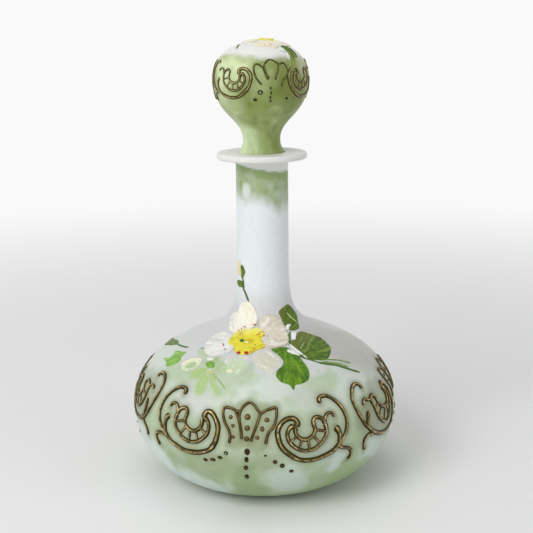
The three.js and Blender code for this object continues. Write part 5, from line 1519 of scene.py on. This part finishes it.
STOPPER_BEAD_HEIGHT, OPEN_BEAD = 0.4, 1.2
stopper_beads = Heap()
for i in range(STOPPER_REPEATS):
    here = STOPPER_ANGLE + i * 360 / STOPPER_REPEATS
    for side, word in ((-1, "left"), (1, "right")):
        scroll_piece(f"gilt_stopper_scroll_{word}_{i + 1}", f"stopper_scroll_{word}_{i + 1}", STOPPER,
                     "stopper", here, side, STOPPER_SCALE, STOPPER_LIFT, STOPPER_SCROLL,
                     600 + 40 * i + 10 * side, STOPPER_LINE_SHARE, OLIVE_LINE)
    palmette_piece(f"gilt_stopper_palmette_{i + 1}", f"stopper_palmette_{i + 1}", STOPPER, "stopper", here,
                   STOPPER_SCALE, STOPPER_LIFT, STOPPER_PALMETTE, 680 + 20 * i, DARK_LINE,
                   STOPPER_LINE_SHARE)
    per_mm = math.degrees(1 / STOPPER.girth)
    for x, y, rx, ry in STOPPER_BEADS:
        bead(stopper_beads, STOPPER, here + x * per_mm, y, rx, ry, STOPPER_BEAD_HEIGHT,
             hollow=rx > OPEN_BEAD)
stopper_beads.make("gilt_stopper_beads", gilt_paste, "stopper", "gilt_enamel")
print("stopper band laid", STOPPER_REPEATS, "times")

# %% [markdown]
# ## The rose on the crown
# An open rose lies on top of the ball and one of its leaves hangs down on the right. The decorator held
# the stopper upright for it, so the petals are set out in plan, as seen from above, round the heart.
# Wrapping them round the ball like the spray would squeeze them where the ball closes.

# %% Lay the rose on the crown
CROWN_CENTRE = np.array([3.0, 0.0])
CROWN_HEART, CROWN_GAP, CROWN_PETAL_LENGTH, CROWN_PETALS, CROWN_TURN = 4.6, 0.3, 8.4, 5, 54
CROWN_FRONT, CROWN_FRONT_SHARE = 3, 1.3
CROWN_PETAL_SIDES = [(0, 25), (0.4, 31), (0.75, 30), (1, 19), (0.92, 0)]
from_crown = slice(None, FINE - 1, -1)


def lay_on_crown(middle):
    """Puts flat millimetres, seen from above, on the top of the ball."""
    def lay(flat, height):
        plan = flat + middle
        across = np.hypot(plan[:, 0], plan[:, 1])
        length = np.interp(across, STOPPER.radius[from_crown], STOPPER.length[from_crown])
        return STOPPER.place(np.degrees(np.arctan2(plan[:, 0], -plan[:, 1])), length, height)
    return lay


CROWN_CREAM = ((236, 232, 212), (240, 224, 196), 0.7, (214, 212, 190))
CROWN_THICKNESS, CROWN_FURROW = 0.5, 0.5
for i in range(CROWN_PETALS):
    turn = CROWN_TURN + i * 360 / CROWN_PETALS
    outline = []
    long = CROWN_FRONT_SHARE if i == CROWN_FRONT else 1
    for side in (-1, 1):
        for share, half in CROWN_PETAL_SIDES if side < 0 else CROWN_PETAL_SIDES[-2::-1]:
            reach = CROWN_HEART + CROWN_GAP + share * long * CROWN_PETAL_LENGTH
            way = math.radians(turn + side * half)
            outline.append((reach * math.cos(way), reach * math.sin(way)))
    outline = np.array(outline)
    middle = outline.mean(axis=0)
    petal = Heap()
    paste(petal, lay_on_crown(CROWN_CENTRE + middle), outline - middle, -middle, CROWN_THICKNESS, LAID_LOW,
          CROWN_FURROW, 700 + i, petal_colour(*CROWN_CREAM), PATCH_STEP)
    petal.make(f"enamel_stopper_petal_{i + 1}", thick_enamel, "stopper", "cream_enamel",
               [f"stopper_petal_{i + 1}"])

CROWN_HEART_POINTS, CROWN_HEART_THICKNESS = 12, 0.75
heart_turns = np.linspace(0, 2 * math.pi, CROWN_HEART_POINTS + 1)[:-1]
round_heart = [(CROWN_HEART * math.cos(turn), CROWN_HEART * math.sin(turn)) for turn in heart_turns]
crown_heart = Heap()
paste(crown_heart, lay_on_crown(CROWN_CENTRE), round_heart, np.zeros(2), CROWN_HEART_THICKNESS, LAID_LOW,
      HEART_FURROW, 711, heart_colour, PATCH_STEP)
crown_heart.make("enamel_stopper_heart", thick_enamel, "stopper", "yellow_enamel", ["stopper_rose_heart"])
print("crown rose:", CROWN_PETALS, "petals")

# %% Leaves and strokes on the stopper
DROOPING_LEAF = ((122, 142, 54), (94, 118, 34), (154, 170, 100))
STOPPER_LEAVES = [
    ("stopper_leaf_right", (49, 14), (53, 20.4), DROOPING_LEAF,
     [(40.6, 19.6), (47, 20.8), (54, 20.6), (62, 19), (60.6, 15.6), (54, 11.3), (48, 7.6), (42, 4.2),
      (38.9, 6.6), (40, 10.1), (42.1, 13.3), (41.6, 16.4)]),
    ("stopper_leaf_left", (-52, 21.5), (-60, 23.5), FRESH,
     [(-60, 22.5), (-53, 20.5), (-46, 18.5), (-45, 20), (-50, 22.5), (-58, 24.5)]),
]
LEAF_FADE, THIN_LEAF, THIN_FURROW, THIN_STEP = 0.35, 0.28, 0.6, 0.35
for i, (name, middle, root, paints, outline) in enumerate(STOPPER_LEAVES):
    heap = Heap()
    paint = fading(leaf_colour(*paints), middle, LEAF_FADE, 1.0, STOPPER)
    paste_on(heap, STOPPER, outline, middle, root, THIN_LEAF, LAID_LOW, THIN_FURROW, 720 + i, paint,
             THIN_STEP)
    heap.make("enamel_" + name, thick_enamel, "stopper", "leaf_enamel", [name])

STROKE_GREEN, STROKE_LIGHT_GREEN, STROKE_HIGHLIGHT = (60, 92, 10), (70, 100, 14), (240, 244, 236)
STROKE_ROSE, STROKE_PALE_ROSE, STROKE_YELLOW = (212, 132, 84), (214, 150, 96), (216, 186, 96)
CROWN_STROKES = [
    (STROKE_GREEN, 0.9, [(42, 20.6), (50, 20.6), (58, 19), (60, 15.5), (57, 12)]),
    (STROKE_LIGHT_GREEN, 0.7, [(44, 19.6), (49, 18.6), (52, 15.5), (51, 12)]),
    # A painted highlight: the white stroke beside the drooping leaf.
    (STROKE_HIGHLIGHT, 1.1, [(35, 18.6), (38, 17.6), (41.5, 16.4)]),
    (STROKE_ROSE, 0.4, [(10, 25), (9, 21.6)]),
    (STROKE_ROSE, 0.4, [(16, 25), (16, 21)]),
    (STROKE_PALE_ROSE, 0.35, [(23, 25), (23.5, 21.6)]),
    (STROKE_YELLOW, 0.4, [(2, 25.5), (-3, 23.8)]),
]
STROKE_HEIGHT, STROKE_LIFT, STROKE_BLOB = 0.3, 0.4, -0.2
crown_marks = Heap()
painted_lines(crown_marks, STOPPER, CROWN_STROKES, STROKE_HEIGHT, 730, STROKE_LIFT, STROKE_BLOB, THIN_STEP)
crown_marks.make("enamel_crown_strokes", thick_enamel, "stopper", "leaf_enamel")
print("leaves on the stopper:", len(STOPPER_LEAVES), "- strokes:", len(CROWN_STROKES))

# %% [markdown]
# ## Floor and backdrop
# A pale floor runs back and up in one curve, so no edge shows behind the glass. A lit wall alone would
# be grey at the top and bright below. So the paper glows evenly white for the rays that look at it,
# and only near the decanter does it fade into real paper that takes its shadow.

# %% Rays that look at the background
def seen_rays(nodes, links):
    """1 for rays from the camera, or on their way from it by a reflection or through glass."""
    ray = add_node(nodes, "LightPath")
    either = add_node(nodes, "Math", operation="MAXIMUM")
    links.new(ray.outputs["Is Camera Ray"], either.inputs[0])
    links.new(ray.outputs["Is Glossy Ray"], either.inputs[1])
    any_seen = add_node(nodes, "Math", operation="MAXIMUM")
    links.new(either.outputs[0], any_seen.inputs[0])
    links.new(ray.outputs["Is Transmission Ray"], any_seen.inputs[1])
    return any_seen.outputs[0]


WHITE, BACKDROP_LEVEL = (1, 1, 1, 1), 0.95
print("the background is seen at", BACKDROP_LEVEL, "of full white")

# %% Stage
FLOOR_COLOUR = (0.86, 0.86, 0.86, 1)
FLOOR_ROUGHNESS, FADE_START, FADE_END, COVE_STEPS = 0.9, 0.22, 1.0, 24
STAGE_WIDTH, STAGE_FRONT, COVE_START, COVE_RADIUS, WALL_TOP = 9, -6, 0.9, 1.2, 2.6
side_view = [(STAGE_FRONT, 0), (COVE_START, 0)]
side_view += [(COVE_START + COVE_RADIUS * math.sin(a), COVE_RADIUS * (1 - math.cos(a)))
              for a in np.linspace(0, math.pi / 2, COVE_STEPS + 1)[1:]]
side_view.append((COVE_START + COVE_RADIUS, WALL_TOP))
cove_mesh = bpy.data.meshes.new("cove")
cove_points = [(x, y, z) for y, z in side_view for x in (-STAGE_WIDTH / 2, STAGE_WIDTH / 2)]
cove_faces = [(2 * i, 2 * i + 1, 2 * i + 3, 2 * i + 2) for i in range(len(side_view) - 1)]
cove_mesh.from_pydata(cove_points, [], cove_faces)
cove_mesh.polygons.foreach_set("use_smooth", [True] * len(cove_faces))
cove = bpy.data.objects.new("cove", cove_mesh)
bpy.context.scene.collection.objects.link(cove)
paper = bpy.data.materials.new("cove_paper")
paper.use_nodes = True
nodes, links = paper.node_tree.nodes, paper.node_tree.links
lit = nodes["Principled BSDF"]
lit.inputs["Base Color"].default_value = FLOOR_COLOUR
lit.inputs["Roughness"].default_value = FLOOR_ROUGHNESS
plain = add_node(nodes, "Emission", {"Color": WHITE, "Strength": BACKDROP_LEVEL})
place = add_node(nodes, "TexCoord")
reach = add_node(nodes, "VectorMath", operation="LENGTH")
links.new(place.outputs["Object"], reach.inputs[0])
away = add_node(nodes, "MapRange", {"From Min": FADE_START, "From Max": FADE_END},
                interpolation_type="SMOOTHSTEP")
links.new(reach.outputs["Value"], away.inputs["Value"])
share = add_node(nodes, "Math", operation="MULTIPLY")
links.new(away.outputs["Result"], share.inputs[0])
links.new(seen_rays(nodes, links), share.inputs[1])
mix = add_node(nodes, "MixShader")
links.new(share.outputs[0], mix.inputs["Fac"])
links.new(lit.outputs[0], mix.inputs[1])
links.new(plain.outputs[0], mix.inputs[2])
links.new(mix.outputs[0], nodes["Material Output"].inputs["Surface"])
cove_mesh.materials.append(paper)
print("the paper is", STAGE_WIDTH, "m wide and its wall", WALL_TOP, "m high")

# %% [markdown]
# ## Light
# The light in the photo is soft and plain, as of a white room. So there is a big lamp high on the left
# in front, one overhead, a weak one on the right, and an even white surround. Together they light a
# surface about once, so a colour shows as it was mixed.

# %% Lamps
def lamp(name, place, aim, size, level):
    """A square lamp that lights a surface facing it, at the aim, to a share of full light."""
    light = bpy.data.lights.new(name, "AREA")
    light.size = size
    way = Vector(aim) - Vector(place)
    light.energy = level * math.pi ** 2 * way.length_squared
    holder = bpy.data.objects.new(name, light)
    holder.location = place
    holder.rotation_euler = way.to_track_quat("-Z", "Y").to_euler()
    bpy.context.scene.collection.objects.link(holder)


AIM = (0, 0, 0.1)
lamp("key", (-0.9, -1.1, 1.1), AIM, 0.9, 0.5)
lamp("overhead", (-0.1, 0.1, 1.6), AIM, 1.2, 0.2)
lamp("fill", (1.2, -0.7, 0.7), AIM, 0.8, 0.09)

SURROUND_LEVEL = 0.42
world = bpy.data.worlds.new("surround")
bpy.context.scene.world = world
world.use_nodes = True
nodes, links = world.node_tree.nodes, world.node_tree.links
sky = nodes["Background"]
sky.inputs["Color"].default_value = WHITE
sky.inputs["Strength"].default_value = SURROUND_LEVEL
seen = add_node(nodes, "Background", {"Color": WHITE, "Strength": BACKDROP_LEVEL})
mix = add_node(nodes, "MixShader")
links.new(seen_rays(nodes, links), mix.inputs["Fac"])
links.new(sky.outputs[0], mix.inputs[1])
links.new(seen.outputs[0], mix.inputs[2])
links.new(mix.outputs[0], nodes["World Output"].inputs["Surface"])
print("three lamps and a white surround")

# %% [markdown]
# ## The camera
# The camera stands a little above the decanter and looks slightly down, close enough that the belly
# looks wider than it would from afar. Its place was worked out from the outline of the glass.

# %% Camera
SENSOR, FOCAL_PIXELS, FRAME_PIXELS, NEAREST = 36, 1040, 533, 0.01
CAMERA_PLACE, CAMERA_TILT, CAMERA_ROLL = (0.0019, -0.5737, 0.2545), 76.94, 0.65
camera = bpy.data.cameras.new("camera")
camera.sensor_width = SENSOR
camera.lens = FOCAL_PIXELS * SENSOR / FRAME_PIXELS
camera.clip_start = NEAREST
viewer = bpy.data.objects.new("camera", camera)
viewer.matrix_world = (Matrix.Translation(CAMERA_PLACE) @ Matrix.Rotation(math.radians(CAMERA_TILT), 4, "X")
                       @ Matrix.Rotation(-math.radians(CAMERA_ROLL), 4, "Z"))
bpy.context.scene.collection.objects.link(viewer)
bpy.context.scene.camera = viewer
bpy.context.scene.view_settings.view_transform = "Standard"
print("lens:", round(camera.lens, 1), "mm")
